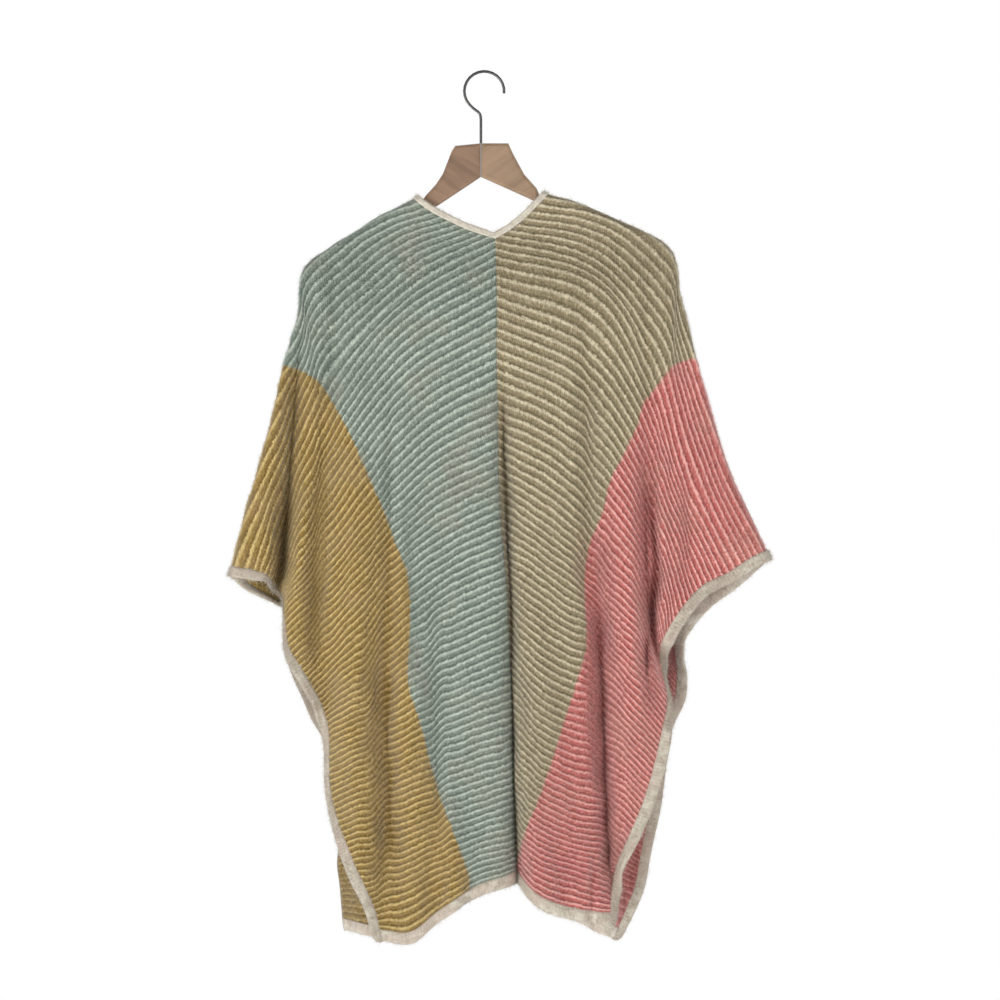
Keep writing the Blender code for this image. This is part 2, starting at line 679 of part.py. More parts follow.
def make_neck_band():
    """A closed ring: down the back neckline, up it again, and round the front's V."""
    back = np.append(LEFT_RIBS[LEFT_RIBS < BACK_NECK_FOOT], BACK_NECK_FOOT - NECK_FOOT_GAP)
    front = np.append(FRONT_RIBS[FRONT_RIBS < FRONT_NECK_FOOT], FRONT_NECK_FOOT - NECK_FOOT_GAP)
    back_left = edge_sections(BACK_LEFT, back, 0.0, NECK_BAND_WIDTH)[0]
    back_right = edge_sections(BACK_RIGHT, back, 0.0, NECK_BAND_WIDTH)[0][::-1]
    front_right = edge_sections(FRONT_RIGHT, front, 0.0, NECK_BAND_WIDTH)[0]
    front_left = edge_sections(FRONT_LEFT, front, 0.0, NECK_BAND_WIDTH)[0][::-1]
    sections = (back_left[:-1] + merge_sections(back_left[-1], back_right[0]) + back_right[1:]
                + front_right[:-1] + merge_sections(front_right[-1], front_left[0])
                + front_left[1:])
    make_band("neck_band", sections, True)


def outline_curve(name, outline, thickness, edge_round, material):
    """A flat board standing in the XZ plane, with rounded edges."""
    curve = bpy.data.curves.new(name, "CURVE")
    curve.dimensions = "2D"
    curve.fill_mode = "BOTH"
    curve.extrude = thickness / 2 - edge_round
    curve.bevel_depth = edge_round
    curve.bevel_resolution = 1
    curve.offset = -edge_round
    spline = curve.splines.new("POLY")
    spline.points.add(len(outline) - 1)
    for point, (x, z) in zip(spline.points, outline):
        point.co = (x, z, 0.0, 1.0)
    spline.use_cyclic_u = True
    curve.materials.append(material)
    board = bpy.data.objects.new(name, curve)
    board.rotation_euler = (math.pi / 2, 0.0, 0.0)
    GARMENT.objects.link(board)
    return board


def make_arm(name, panel, neck_outline, foot_outline):
    """One arm: a shoulder that follows the inside of the fold, and a mitred middle."""
    along = np.array(ARM_STATIONS)
    fold = panel.flat_place(np.zeros(len(along)), along)
    run = np.gradient(fold, axis=0)
    run /= np.linalg.norm(run, axis=1)[:, None]
    below = np.stack([-run[:, 1], run[:, 0]], axis=1) * panel.side
    shoulder = fold + below * (WALL + ARM_CLEARANCE)
    outline = [(x * MM, -drop * MM) for x, drop in neck_outline]
    outline += [(x, -drop) for x, drop in shoulder]
    outline += [(x * MM, -drop * MM) for x, drop in foot_outline]
    outline_curve(name, outline, ARM_THICKNESS, ARM_EDGE_ROUND, MATERIALS["beech"])


def make_hook():
    """The wire: round the hook from its free end, in to the stem and down to the wood."""
    centre_z = WIRE_RADIUS - HOOK_RADIUS
    turn = np.radians(np.linspace(HOOK_FREE_END, HOOK_TURN_END, HOOK_STEPS))
    path = [(HOOK_RADIUS * math.cos(a), centre_z + HOOK_RADIUS * math.sin(a)) for a in turn]
    start = np.array(path[-1])
    heading = np.array((-math.sin(turn[-1]), math.cos(turn[-1])))
    foot = np.array((STEM_X, STEM_BEND_Z))
    lead = start + heading * HOOK_LEAD
    drop = foot + np.array((0.0, STEM_LEAD))
    for s in np.linspace(0, 1, STEM_STEPS + 1)[1:]:
        path.append(tuple((1 - s)**3 * start + 3 * s * (1 - s)**2 * lead
                          + 3 * s**2 * (1 - s) * drop + s**3 * foot))
    path.append((STEM_X, WOOD_TOP_Z + SEAM_GAP))
    curve = bpy.data.curves.new("hanger_hook", "CURVE")
    curve.dimensions = "3D"
    curve.bevel_depth = WIRE_RADIUS
    curve.bevel_resolution = 1
    curve.use_fill_caps = True
    spline = curve.splines.new("POLY")
    spline.points.add(len(path) - 1)
    for point, (x, z) in zip(spline.points, path):
        point.co = (x, 0.0, z, 1.0)
    curve.materials.append(MATERIALS["steel"])
    hook = bpy.data.objects.new("hanger_hook", curve)
    GARMENT.objects.link(hook)


def new_material(name, colour, roughness=0.95, metallic=0.0):
    material = bpy.data.materials.new(name)
    material.use_nodes = True
    shader = material.node_tree.nodes["Principled BSDF"]
    shader.inputs["Base Color"].default_value = (*colour, 1.0)
    shader.inputs["Roughness"].default_value = roughness
    shader.inputs["Metallic"].default_value = metallic
    return material


for old in list(bpy.data.objects):
    bpy.data.objects.remove(old, do_unlink=True)
GARMENT = bpy.data.collections.new("knitted_poncho_sweater")
bpy.context.scene.collection.children.link(GARMENT)
MATERIALS = {name: new_material(name, colour) for name, colour in COLOURS.items()}

BACK_LEFT = HalfPanel(GUIDES_LEFT, VALLEY_LEFT, FOLDS_BACK_LEFT, SPREAD_BACK, -1)
BACK_RIGHT = HalfPanel(GUIDES_RIGHT, VALLEY_RIGHT, FOLDS_BACK_RIGHT, SPREAD_BACK, 1)
FRONT_LEFT = HalfPanel(GUIDES_LEFT, VALLEY_LEFT, FOLDS_FRONT_LEFT, SPREAD_FRONT, -1,
                       FRONT_SHIFT_LEFT)
FRONT_RIGHT = HalfPanel(GUIDES_RIGHT, VALLEY_RIGHT, FOLDS_FRONT_RIGHT, SPREAD_FRONT, 1,
                        FRONT_SHIFT_RIGHT)

LEFT_RIBS = inner_ribs(24, 2)
RIGHT_RIBS = inner_ribs(38, 2)
FRONT_RIBS = inner_ribs(4, 2)

make_panel("back_left", BACK_LEFT, BACK_COLUMNS, LEFT_RIBS, MATERIALS["sage"],
           MATERIALS["mustard"])
make_panel("back_right", BACK_RIGHT, BACK_COLUMNS, RIGHT_RIBS, MATERIALS["khaki"],
           MATERIALS["coral"])
make_panel("front_left", FRONT_LEFT, FRONT_COLUMNS, FRONT_RIBS, MATERIALS["sage"],
           MATERIALS["mustard"])
make_panel("front_right", FRONT_RIGHT, FRONT_COLUMNS, FRONT_RIBS, MATERIALS["khaki"],
           MATERIALS["coral"])
make_side_band("side_band_left", BACK_LEFT, LEFT_RIBS, FRONT_LEFT, FRONT_RIBS)
make_side_band("side_band_right", BACK_RIGHT, RIGHT_RIBS, FRONT_RIGHT, FRONT_RIBS)
make_hem_band("hem_band_back", BACK_LEFT, BACK_RIGHT, BACK_COLUMNS)
make_hem_band("hem_band_front", FRONT_LEFT, FRONT_RIGHT, FRONT_COLUMNS)
make_neck_band()
make_arm("hanger_arm_left", BACK_LEFT, ARM_LEFT_NECK, ARM_LEFT_FOOT)
make_arm("hanger_arm_right", BACK_RIGHT, ARM_RIGHT_NECK, ARM_RIGHT_FOOT)
make_hook()
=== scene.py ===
"""Knitted poncho sweater on its hanger: the looks of every surface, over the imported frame.

Metres, +Z up, with the origin at the inside top of the hanger's hook. The garment's back faces
-Y. A place on a panel is given by its rib number, 0 at the shoulder fold and 80 at the hem, and
by how far along the rib it lies, from 0 at the neckline or centre seam to 1 at the side edge.
"""
import math

import bpy
import numpy as np
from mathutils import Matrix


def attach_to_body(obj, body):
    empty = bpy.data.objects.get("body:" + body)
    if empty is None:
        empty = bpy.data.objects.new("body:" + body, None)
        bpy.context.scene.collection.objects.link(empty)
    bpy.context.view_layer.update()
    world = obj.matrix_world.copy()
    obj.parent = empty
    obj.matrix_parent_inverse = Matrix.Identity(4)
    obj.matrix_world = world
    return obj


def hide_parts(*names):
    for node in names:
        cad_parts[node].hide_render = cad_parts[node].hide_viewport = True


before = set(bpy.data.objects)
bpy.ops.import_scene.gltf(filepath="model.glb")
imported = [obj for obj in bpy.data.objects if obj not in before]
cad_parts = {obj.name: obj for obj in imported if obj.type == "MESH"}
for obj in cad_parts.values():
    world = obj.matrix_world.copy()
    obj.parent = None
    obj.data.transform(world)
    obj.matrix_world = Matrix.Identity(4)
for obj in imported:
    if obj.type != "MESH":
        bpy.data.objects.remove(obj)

bl_info = {
    "name": "Knitted poncho sweater",
    "version": (1, 0, 0),
    "blender": (4, 5, 0),
    "location": "3D View > Sidebar > Poncho",
    "description": "Builds the knit, the bands, the hanger's finish and the studio of a poncho",
    "category": "Object",
}

MM = 0.001

# ---- Driving sizes of the cloth ----
RIB_COUNT = 80  # ridges from the shoulder fold to the hem band
FOLD_GAP = 0.15 * MM  # each panel's distance from the garment's middle plane
SIDE_BAND_WIDTH = 15 * MM
HEM_BAND_WIDTH = 15 * MM
NECK_BAND_WIDTH = 7.5 * MM
BAND_TUCK = 0.6 * MM  # how far a band reaches under the panel's edge
BAND_GATHER = 0.5  # how much narrower a side band is where its painted shade is deepest
CORNER_WIDTH = 0.30  # share of its width left at the foot of its rounded corner
CORNER_ROUND = 0.98  # share of a quarter circle that the corner follows
SWELLS = (0.10, 0.07)  # how much a band swells and slims along its run, as shares
SWELL_LENGTHS = (21 * MM, 8.7 * MM, 53 * MM)
STITCH = 4.2 * MM  # length of one stitch along a rib
RIB_STEP = 0.05  # ribs to either side that give the cloth its direction
ALONG_STEP = 0.004  # and share of a rib's length
FOLD_RIBS = 0.1  # ribs that may lie on the middle plane
EDGE_CALM = 1.5  # ribs next to the fold and the hem that run even
SIDE_CALM = 0.04  # and share of a rib's length next to its ends
UPPER_ROWS = 10  # ribs in the uppermost strip, where their count changes
INNER_ROWS = 16  # rows of the inside there
INNER_RISE = 0.8 * MM  # ribs on the inside, between those of the outside
RIM_CALM = 0.02  # share of a rib's length over which it sinks to its end
RIM_HEIGHT = 0.35  # share of its height left there
BAND_STEP = 0.2  # ribs to either side that give a side edge its direction
BAND_TURN = 2.5  # ribs over which a side band turns over the shoulder fold
BAND_TURN_STEPS = 12  # sections of that turn
BAND_STRIDE = 0.3  # ribs between a side band's sections below that
BAND_EVEN = 6  # sections over which a side band's turns are evened out
CORNER_STEPS = 8  # sections of a side band's rounded corner at the hem
HEM_STEPS = 96  # sections of a hem band's half
HEM_EVEN = 3
NECK_STEPS = 40  # sections of a quarter of the neck band
NECK_CROWDING = 1.3  # more than 1 sets them closer near the shoulder
NECK_EVEN = 3
FIBRE_LENGTH = (3.5 * MM, 8 * MM)
FIBRE_RADIUS = 0.17 * MM
FIBRE_ARCH = 1.6  # height of a fibre's foot, in radii
FIBRE_TURN = 0.8  # how far fibres turn from the ribs' direction, in radians
FIBRE_LEAN = (0.10, 0.75)  # and how far they stand off the cloth
FIBRE_ROOT = 0.3 * MM  # depth of a fibre's root in the yarn
BACK_FIBRES = 40000  # on each back panel
FRONT_FIBRES = 14000
BACK_MESH = (101, 6)  # points along a rib of a back panel, and rows to a rib
FRONT_MESH = (71, 3)
PANEL_DRAWS = 10  # step between the panels' numbers for random draws
BAND_DRAWS = 100  # the first band's number
BAND_FIBRES = 0.30  # on each square millimetre of a band
CUT_WIDTH = 0.61  # flat width of a quarter panel, from the centre seam to the cuff

# ---- Looks ----
PALER_BAND_HEIGHTS = (-0.40, -0.22)  # heights over which the bands' cream gets paler towards the top
PAINTED_SHADE_BRIGHTNESS = 0.55  # brightness of a yarn in painted shade, in a furrow and on a band's shaded places
GRAIN_SLOPE = math.radians(32)
WOOD_TINTS = ((0.30, 0.72), (0.5, 1.0), (0.72, 1.12))  # place in the grain, and brightness
GRAIN = (9.0, 60.0, 90.0)  # how fine the grain is down, across and through an arm
GRAIN_DETAIL = (3.0, 0.6)
PORES = (30.0, 300.0, 900.0)
PORE_STEP = (0.0, 0.20)
PORE_DARK = 0.28
PORE_DEPTH = 0.6
WOOD_RELIEF = (0.25, 0.4 * MM)  # strength and height
WIRE_TINTS = (0.7, 1.4)  # brightness of the wire's marks
WIRE_ROUGHNESS = (0.34, 0.2)  # at its least, and what the marks add
# Unevenness: how fine it is, its detail and its roughness.
SPECK = (330.0, 3.0, 0.6)
FUZZ = (760.0, 2.0, 0.6)
TUFT = (120.0,)
BROAD = (17.0,)
BAND_SPECK = (300.0, 3.0, 0.6)
BAND_TUFT = (95.0,)
BAND_BROAD = (24.0,)
WIRE_MARKS = (220.0, 3.0, 0.6)
# The brushed ribs. Places and distances across them are in ribs, from furrow to furrow.
WAVER = (0.42, 0.16)  # how far speck and tuft move a ridge's edge
BEADS = (0.8, 1.7)  # uneven beads of yarn in a stitch's length and in a rib
CREST_EDGE = (0.17, 0.34)  # where its paleness sets in
CREST_FADE = (0.37, 0.74)  # and where it fades
CREST_FADED = 0.92  # how much of it fades
FURROW_SHIFT = 0.42  # moves the furrow to the middle
FURROW_EDGE = (0.02, 0.19)  # distances from there over which its painted shade ends
CHEVRON_POINT = 0.40  # where the two arms of a stitch meet
CHEVRON_SLANT = 1.4  # stitches that an arm falls back for each rib
CHEVRON_SHADE = 0.20
PLAIN_PALE = 0.86  # paleness of the crest where it isn't brushed
BRUSHED_AND_LIT_PALE = 0.24  # and what brushing adds, partly as painted light
BEAD_PALE = 0.90  # what beads add, and below it the fuzz and every place
FUZZ_STEP = (0.08, 0.30)
FUZZ_PALE = 0.18
LEAST_PALE = 0.02
COVER_IN_SHADE = (0.75, 0.26)  # paleness that yarn in painted shade loses, and that it has everywhere
FURROW_SHADE = 0.8  # how strong the painted shade in a furrow is
FURROW_LOSS_IN_SHADE = 0.7  # and how much of that yarn in painted shade loses
BORDER_WAVER = 10 * MM  # how far specks move the border of two colours
BORDER = 1.6 * MM  # half its width
NAP_STEP = (-0.08, 0.22)  # broad unevenness that shows the brushed fibres' colour
NAP_SHARE = 0.20
TONE = 0.815  # brightness, and what broad, tuft, speck, bead, fuzz, brushing as painted light and painted shade add
TONE_SHARES = (0.20, 0.30, 0.85, 0.50, 0.50, 0.235, -0.32)
RIB_HEIGHTS = (0.4, 1.3, 0.4, 0.5)  # of wave, speck, fuzz and tuft
RIB_RELIEF = (0.8, 1.6 * MM)
# The bands.
BAND_PALE = 0.55  # paleness, and what speck, tuft and wave add
BAND_SHARES = (0.9, 1.3, 0.10)
BAND_PALE_STEP = (0.1, 0.9)
BAND_NAP_STEP = (-0.10, 0.14)
BAND_NAP_SHARE = 0.55
PALER_BAND_SHARE = 0.60  # how much of the paler cream shows in its darkest places
PALER_BAND_BRIGHT = 1.06
BAND_SHADE_STRENGTH = (0.70, 0.5)  # how much a band's painted shade shows, and what tuft adds
BAND_HEIGHTS = (0.2, 1.2, 0.8)  # of wave, speck and tuft
BAND_RELIEF = (0.8, 1.8 * MM)
FIBRE_PALE = 0.75  # share of the pale colour in loose fibres
# Each yarn's place, and the colours of its ground and of its pale ridges, as seen on a screen.
YARNS = {
    "sage": ("upper left block", (128, 141, 128), (197, 207, 194)),
    "khaki": ("upper right block", (148, 134, 101), (220, 208, 178)),
    "mustard": ("lower left block", (150, 120, 60), (216, 190, 127)),
    "coral": ("lower right block", (197, 101, 95), (250, 189, 181)),
    "cream": ("bands", (184, 170, 152), (230, 223, 207)),
    "nap": ("brushed fibres", (158, 140, 118), (206, 186, 172)),
}
BLOCKS = {"left": ("sage", "mustard"), "right": ("khaki", "coral")}
WHITE = (1.0, 1.0, 1.0)

# ---- Driving sizes of the studio ----
SENSOR = 36.0
FRAME_WIDTH = 1.2  # width of the view at the garment's back
VIEW_X = 0.019  # the view's middle
VIEW_Z = -0.515
BACK_PLANE_Y = -0.03
HORIZON = (0.12, 0.30)  # sines of the heights where the white walls start and end to dim
CAMERA_REACH = 100.0
LIGHT_SIZE = 1.6
LIGHTS = (
    ("key_light", (-2.1, -2.5, -1.7), "key_power"),
    ("fill_light", (2.0, -3.3, -1.3), "fill_power"),
    ("left_rear_light", (-1.6, 3.0, 2.4), "rear_power"),
    ("right_rear_light", (1.6, 3.0, 2.4), "rear_power"),
)
FLOOR_Z = -1.9
FLOOR_SIZE = 8.0


# ---- Tables of the cloth's form ----
def ease(value, low=0.0, high=1.0):
    """A soft step from 0 at low to 1 at high."""
    value = np.clip((value - low) / (high - low), 0.0, 1.0)
    return value * value * (3 - 2 * value)


def unit(directions):
    return directions / np.linalg.norm(directions, axis=1)[:, None]


class Table:
    """Rows of numbers under named columns. The first column says where each row applies."""

    def __init__(self, names, rows):
        self.names = names.split()
        self.rows = np.array(rows, float)
        self.places = self.rows[:, 0]

    def __getitem__(self, names):
        """One column by its name, or several by names with blanks between them."""
        numbers = [self.names.index(name) for name in names.split()]
        return self.rows[:, numbers if len(numbers) > 1 else numbers[0]]

    def line(self, at, name):
        """A column read straight between its rows."""
        return np.interp(at, self.places, self[name])

    def curve(self, at, names=None):
        """Columns, or all but the first, read on a curve through their rows."""
        values = self[names] if names else self.rows[:, 1:]
        upright = (-1,) + (1,) * (values.ndim - 1)
        steps = np.diff(self.places).reshape(upright)
        slopes = np.diff(values, axis=0) / steps
        before = steps[1:] / (steps[:-1] + steps[1:])
        tangents = np.concatenate([
            slopes[:1], slopes[:-1] * before + slopes[1:] * (1 - before), slopes[-1:]])
        at = np.clip(at, self.places[0], self.places[-1])
        cell = np.searchsorted(self.places, at, side="right") - 1
        cell = np.clip(cell, 0, len(steps) - 1)
        width = steps[cell]
        s = (at - self.places[cell]).reshape(upright) / width
        return ((2 * s**3 - 3 * s**2 + 1) * values[cell]
                + (s**3 - 2 * s**2 + s) * width * tangents[cell]
                + (3 * s**2 - 2 * s**3) * values[cell + 1]
                + (s**3 - s**2) * width * tangents[cell + 1])


# Guide ribs of each half, in mm: across from the hook's middle and down from the hook's top.
# Each rib passes through five stations, a quarter of its length apart.
GUIDE_COLUMNS = "rib upper_x upper_drop middle_x middle_drop lower_x lower_drop out_x out_drop"
GUIDES_LEFT = Table(GUIDE_COLUMNS, (
    (0, -185, 210, -221, 253, -259, 425, -304, 594),
    (4, -103, 263, -190, 359, -238, 481, -279, 599),
    (6.3, -98, 288, -175, 379, -226, 487, -264, 604),
    (11.2, -85, 341, -156, 421, -210, 518, -252, 620),
    (16.1, -72, 391, -137, 462, -192, 543, -243, 633),
    (21, -64, 446, -126, 511, -181, 583, -240, 652),
    (26.2, -58, 500, -121, 560, -176, 625, -235, 690),
    (31.7, -52, 556, -112, 605, -164, 665, -217, 720),
    (43.3, -34, 664, -90, 702, -140, 748, -189, 782),
    (55.6, -24, 779, -78, 809, -130, 839, -184, 869),
    (69, -14, 894, -62, 916, -112, 940, -153, 956),
    (76.6, -8, 952, -52, 974, -92, 996, -131, 1007),
    (80, -8, 977, -53, 1006, -88, 1032, -125, 1030),
))
GUIDES_RIGHT = Table(GUIDE_COLUMNS, (
    (0, 175, 184, 229, 229, 274, 407, 343, 582),
    (4, 143, 238, 217, 343, 256, 473, 313, 593),
    (6.2, 138, 258, 204, 366, 241, 490, 295, 602),
    (10.9, 118, 322, 184, 408, 223, 512, 264, 617),
    (15.6, 106, 379, 167, 456, 209, 545, 241, 640),
    (20.3, 97, 436, 157, 504, 203, 584, 221, 670),
    (25, 88, 491, 145, 548, 191, 614, 212, 693),
    (30.3, 80, 548, 134, 598, 182, 653, 213, 719),
    (36, 79, 604, 133, 647, 179, 699, 220, 753),
    (42.3, 78, 667, 132, 702, 175, 750, 213, 793),
    (54.1, 68, 780, 115, 804, 157, 832, 194, 868),
    (67.9, 64, 896, 98, 914, 137, 925, 162, 949),
    (75.8, 64, 954, 94, 966, 125, 976, 153, 989),
    (80, 60, 984, 86, 998, 116, 1006, 152, 1011),
))
# The shoulder fold and the sleeve's upper edge, in mm. The ribs just below it even it out.
SHOULDER_LINE = Table("along left_x left_drop right_x right_drop", (
    (0, -85, 152, 77, 146), (0.13, -120, 170, 120, 160), (0.26, -157, 193, 163, 178),
    (0.38, -193, 215, 199, 195), (0.44, -209, 226, 215, 205), (0.48, -218, 237, 227, 217),
    (0.52, -222, 252, 232, 233), (0.58, -223, 284, 235, 262), (0.64, -231, 315, 242, 292),
    (0.72, -243, 358, 256, 347), (0.8, -254, 410, 271, 403), (0.9, -278, 497, 298, 487),
    (0.95, -291, 542, 317, 529), (1, -304, 595, 340, 576),
))
SHOULDER_REACH = 7  # ribs over which the line's own form fades out
# The centre seam, which both halves share, and the back neckline from the shoulder to its foot.
CENTRE_SEAM = Table("rib x drop", (
    (4, 13, 200), (6.3, 14, 222), (11.2, 15, 282), (16.1, 15, 343), (21, 16, 403),
    (26.2, 17, 463), (31.7, 19, 521), (43.3, 28, 635), (55.6, 34, 758), (69, 37, 878),
    (76.6, 39, 940), (80, 40, 962),
))
NECKLINE = Table("rib left_x left_drop right_x right_drop", (
    (0, -85, 152, 77, 146), (1, -68, 165, 64, 160), (2, -46, 177, 49, 175),
    (3, -20, 189, 33, 188), (4, 13, 200, 13, 200),
))
# How far, in mm, the cloth stands from the middle plane, at the inner and outer end of a rib.
SPREAD_BACK = Table("rib at_centre at_side", (
    (0, 12, 24), (6, 12, 24), (12, 15, 34), (21, 22, 42), (35, 32, 42), (55, 38, 40),
    (80, 40, 36),
))
SPREAD_FRONT = Table("rib at_centre at_side", (
    (0, 12, 24), (6, 12, 30), (12, 15, 42), (21, 22, 44), (35, 32, 42), (55, 38, 40),
    (80, 40, 34),
))
WRAP_REACH = 10 * MM  # height over which the cloth rolls over the shoulder fold
WRAP_BLUNTNESS = 2.6  # 2 is a round roll, more is squarer
WRAP_CLEAR = 3  # such heights below the fold at which folds are at full depth
STAND_START = 0.15  # share of a rib's length at which the stand starts to change
STAND_RUN = 0.75  # and over which it does so

# The deep valley between sleeve and body, which swallows the ribs under the arm: at each place
# along the ribs, the rib on its floor, its depth in mm, and its walls' width in ribs.
VALLEY_COLUMNS = "along floor_rib depth toward_sleeve toward_body"
VALLEY_LEFT = Table(VALLEY_COLUMNS, (
    (0.45, 1, 0, 3, 4), (0.6, 3.5, 5, 3.5, 4.5), (0.76, 6.5, 18, 4.5, 5), (0.92, 11, 42, 6, 6.5),
    (1, 13, 50, 7, 8),
))
VALLEY_RIGHT = Table(VALLEY_COLUMNS, (
    (0.45, 6, 0, 3, 5), (0.62, 12, 9, 4, 6), (0.75, 18, 26, 4.5, 8), (0.87, 24, 40, 5, 9),
    (0.93, 27, 26, 6, 9), (1, 29, 4, 7, 9),
))
FRONT_VALLEY = 0.12  # the front's valleys, as a share of the back's

# How far, in mm, a side edge curls in behind the panel, over the last of each rib.
EDGE_COLUMNS = "rib back_left back_right front_left front_right"
EDGE_CURL = Table(EDGE_COLUMNS, (
    (0, 0, 0, 0, 0), (4, 0, 0, -12, -18), (13, 0, 0, -14, -22), (17, 20, 0, -8, -22),
    (20, 20, 4, 0, -22), (25, 16, 26, 0, -18), (30, 0, 30, 0, -10), (37, 0, 14, 0, 0),
    (42, 10, 0, 0, 0), (48, 28, 0, 0, 0), (56, 28, 0, 0, 0), (61, 10, 0, 0, 0), (66, 0, 0, 8, 0),
    (70, 0, 0, 22, 0), (80, 0, 0, 22, 0),
))
CURL_START = 0.84
# How far, in degrees, a side band turns on its sewn edge, + towards the garment's inside.
BAND_ROLL = Table(EDGE_COLUMNS, (
    (0, 0, 0, 0, 0), (3, 0, 0, 45, -15), (5, 10, 0, 60, -25), (7, 40, 0, 65, -25),
    (10, 30, 0, 65, -25), (14, 20, 0, 55, -25), (20, 35, 0, 15, -25), (24, 30, 0, 0, -20),
    (30, 0, 10, 0, -10), (40, 0, 0, 0, 0), (62, 0, 0, 0, 0), (68, 0, 0, -55, 0),
    (76, 0, 0, -55, 0), (80, 0, 0, -30, 0),
))
# How deep the painted shade on a side band is, from 0 to 1.
BAND_PAINTED_SHADE = Table(EDGE_COLUMNS, (
    (0, 0.25, 0.25, 0.25, 0.25), (5, 0.3, 0.25, 0.6, 0.2), (8, 1, 0.25, 0.9, 0.1),
    (18, 1, 0.2, 0.9, 0), (23, 0.5, 0.1, 0.7, 0.1), (27, 0.4, 0.6, 0.6, 0.2),
    (32, 0.4, 0.6, 0.6, 0.2), (37, 0.5, 0.3, 0.6, 0.2), (48, 0.2, 0.1, 0.4, 0.3),
    (64, 0.1, 0.2, 0.6, 0.3), (80, 0.4, 0.4, 0.6, 0.3),
))

# Hanging folds. Each is a line down the cloth: its top and its foot, across and down in mm, the
# fold's depth (+ is a trough, - a ridge) and its half widths to the left and the right.
FOLDS_BACK_LEFT = {
    "under_arm_trough": (-184, 270, -210, 720, 13, 13, 14),
    "side_trough": (-211, 530, -182, 820, 9, 13, 15),
    "arm_ridge": (-158, 380, -150, 800, -6, 15, 17),
    "side_ridge": (-160, 640, -146, 1120, -8, 20, 20),
    "hem_trough": (-118, 680, -110, 970, 15, 14, 10),
    "middle_ridge": (-88, 420, -84, 1160, -8, 24, 24),
    "inner_trough": (-57, 620, -50, 920, 9, 17, 18),
    "inner_ridge": (-44, 780, -30, 1120, -12, 15, 13),
}
FOLDS_BACK_RIGHT = {
    "waist_trough": (118, 160, 130, 680, 13, 14, 14),
    "body_ridge": (168, 380, 176, 900, -10, 17, 15),
    "hem_trough": (135, 540, 153, 1020, 21, 16, 11),
    "flap_trough": (242, 480, 243, 640, 6, 13, 13),
    "middle_ridge": (62, 520, 72, 1120, -8, 18, 24),
}
FOLDS_FRONT_LEFT = {
    "side_trough": (-150, 560, -135, 1150, 14, 18, 18),
    "middle_ridge": (-80, 460, -74, 1150, -10, 26, 26),
}
FOLDS_FRONT_RIGHT = {
    "side_trough": (150, 600, 140, 1150, 15, 18, 18),
    "middle_ridge": (95, 480, 90, 1150, -9, 26, 26),
}
FOLD_GROWTH = 0.45  # share of a hanging fold's length over which it deepens
FOLD_FADE = 0.2  # and over which it fades out again
DEEPENING = 1.35  # how much further the cloth sinks in its folds than the solid does
# Narrow creases on the floors of the back's folds, given in the same way.
CREASES_LEFT = {
    "under_arm": (-216, 240, -250, 635, 24, 11, 9),
    "waist": (-112, 320, -115, 830, 10, 10, 7),
    "inner": (-64, 690, -56, 900, 4, 7, 5),
    "shoulder": (-177, 140, -184, 440, 10, 10, 9),
}
CREASES_RIGHT = {
    "under_arm": (191, 430, 196, 760, 17, 11, 3.5),
    "flap_edge": (209, 400, 208, 720, -9, 5, 9),
    "lower_side": (134, 540, 152, 1020, 9, 8, 6),
    "hem_side": (158, 880, 160, 1120, 11, 10, 7),
    "shoulder": (200, 150, 196, 440, 8, 9, 8),
    "hem": (129, 900, 127, 1150, 7, 5, 6),
}
# The fold that runs down the centre seam, in mm.
SEAM_FOLD_DROPS = (300, 480)  # where it starts, and where it is at full depth
SEAM_FOLD_DEPTH = 24
SEAM_FOLD_WIDTH = 11
SEAM_FOLD_ASIDE = 8  # how far to the right of the seam it starts
SEAM_FOLD_ON_SEAM = (580, 760)  # drops between which it moves onto the seam
SEAM_FOLD_POWER = 1.5  # 2 is a round floor, less is more of a crease
SEAM_FOLD_FRONT = 0.7  # the front's depth, as a share of the back's
SEAM_CREASE_DEPTH = 10  # of the crease on its floor
SEAM_CREASE_WIDTH = 8

# The front's neckline starts further along its upper ribs, and its side edge lies further out.
FRONT_NECK = Table("rib start", (
    (0, 0), (2, 0.07), (4, 0.125), (7, 0.09), (10, 0.035), (12, 0), (80, 0),
))
BACK_NECK_FOOT = 4  # rib at the lowest point of each neckline
FRONT_NECK_FOOT = 12
SHIFT_SHARE = 0.4  # how much of a side edge's shift the station before it takes
FRONT_SHIFT_LEFT = Table("rib across down", (
    (0, 0, 0), (4, 1, 23), (6.3, 1, 28), (11, 0, 19), (16, 4, 12), (21, 6, 6), (26, 3, 2),
    (31, -8, 0), (37, -12, 0), (43, -9, 0), (48, 7, 0), (52, 12, 0), (60, 10, 0), (64, -3, 0),
    (69, -24, -2), (73, -34, -4), (77, -42, -6), (80, -45, -6),
))
FRONT_SHIFT_RIGHT = Table("rib across down", (
    (0, 0, 0), (4, -4, 12), (6, -3, 13), (11, 3, 16), (16, 6, 14), (20, 12, 8), (25, 21, 9),
    (30, 22, 4), (36, 12, 0), (42, 2, 0), (48, 5, 0), (54, 11, 0), (61, 20, 0), (68, 27, 0),
    (76, 25, 6), (80, 9, 22),
))

# The line between the upper and the lower block of colour, in mm.
COLOUR_LINE = Table("drop left_x right_x", (
    (345, -262, 249), (352, -243, 230), (359, -222, 222), (368, -205, 215), (381, -193, 206),
    (397, -183, 193), (425, -167, 184), (463, -149, 166), (491, -137, 152), (530, -120, 142),
    (566, -107, 128), (601, -93, 121), (634, -89, 121), (692, -90, 122), (731, -91, 112),
    (781, -77, 96), (828, -65, 81), (869, -54, 67), (911, -37, 50), (965, -18, 36),
))

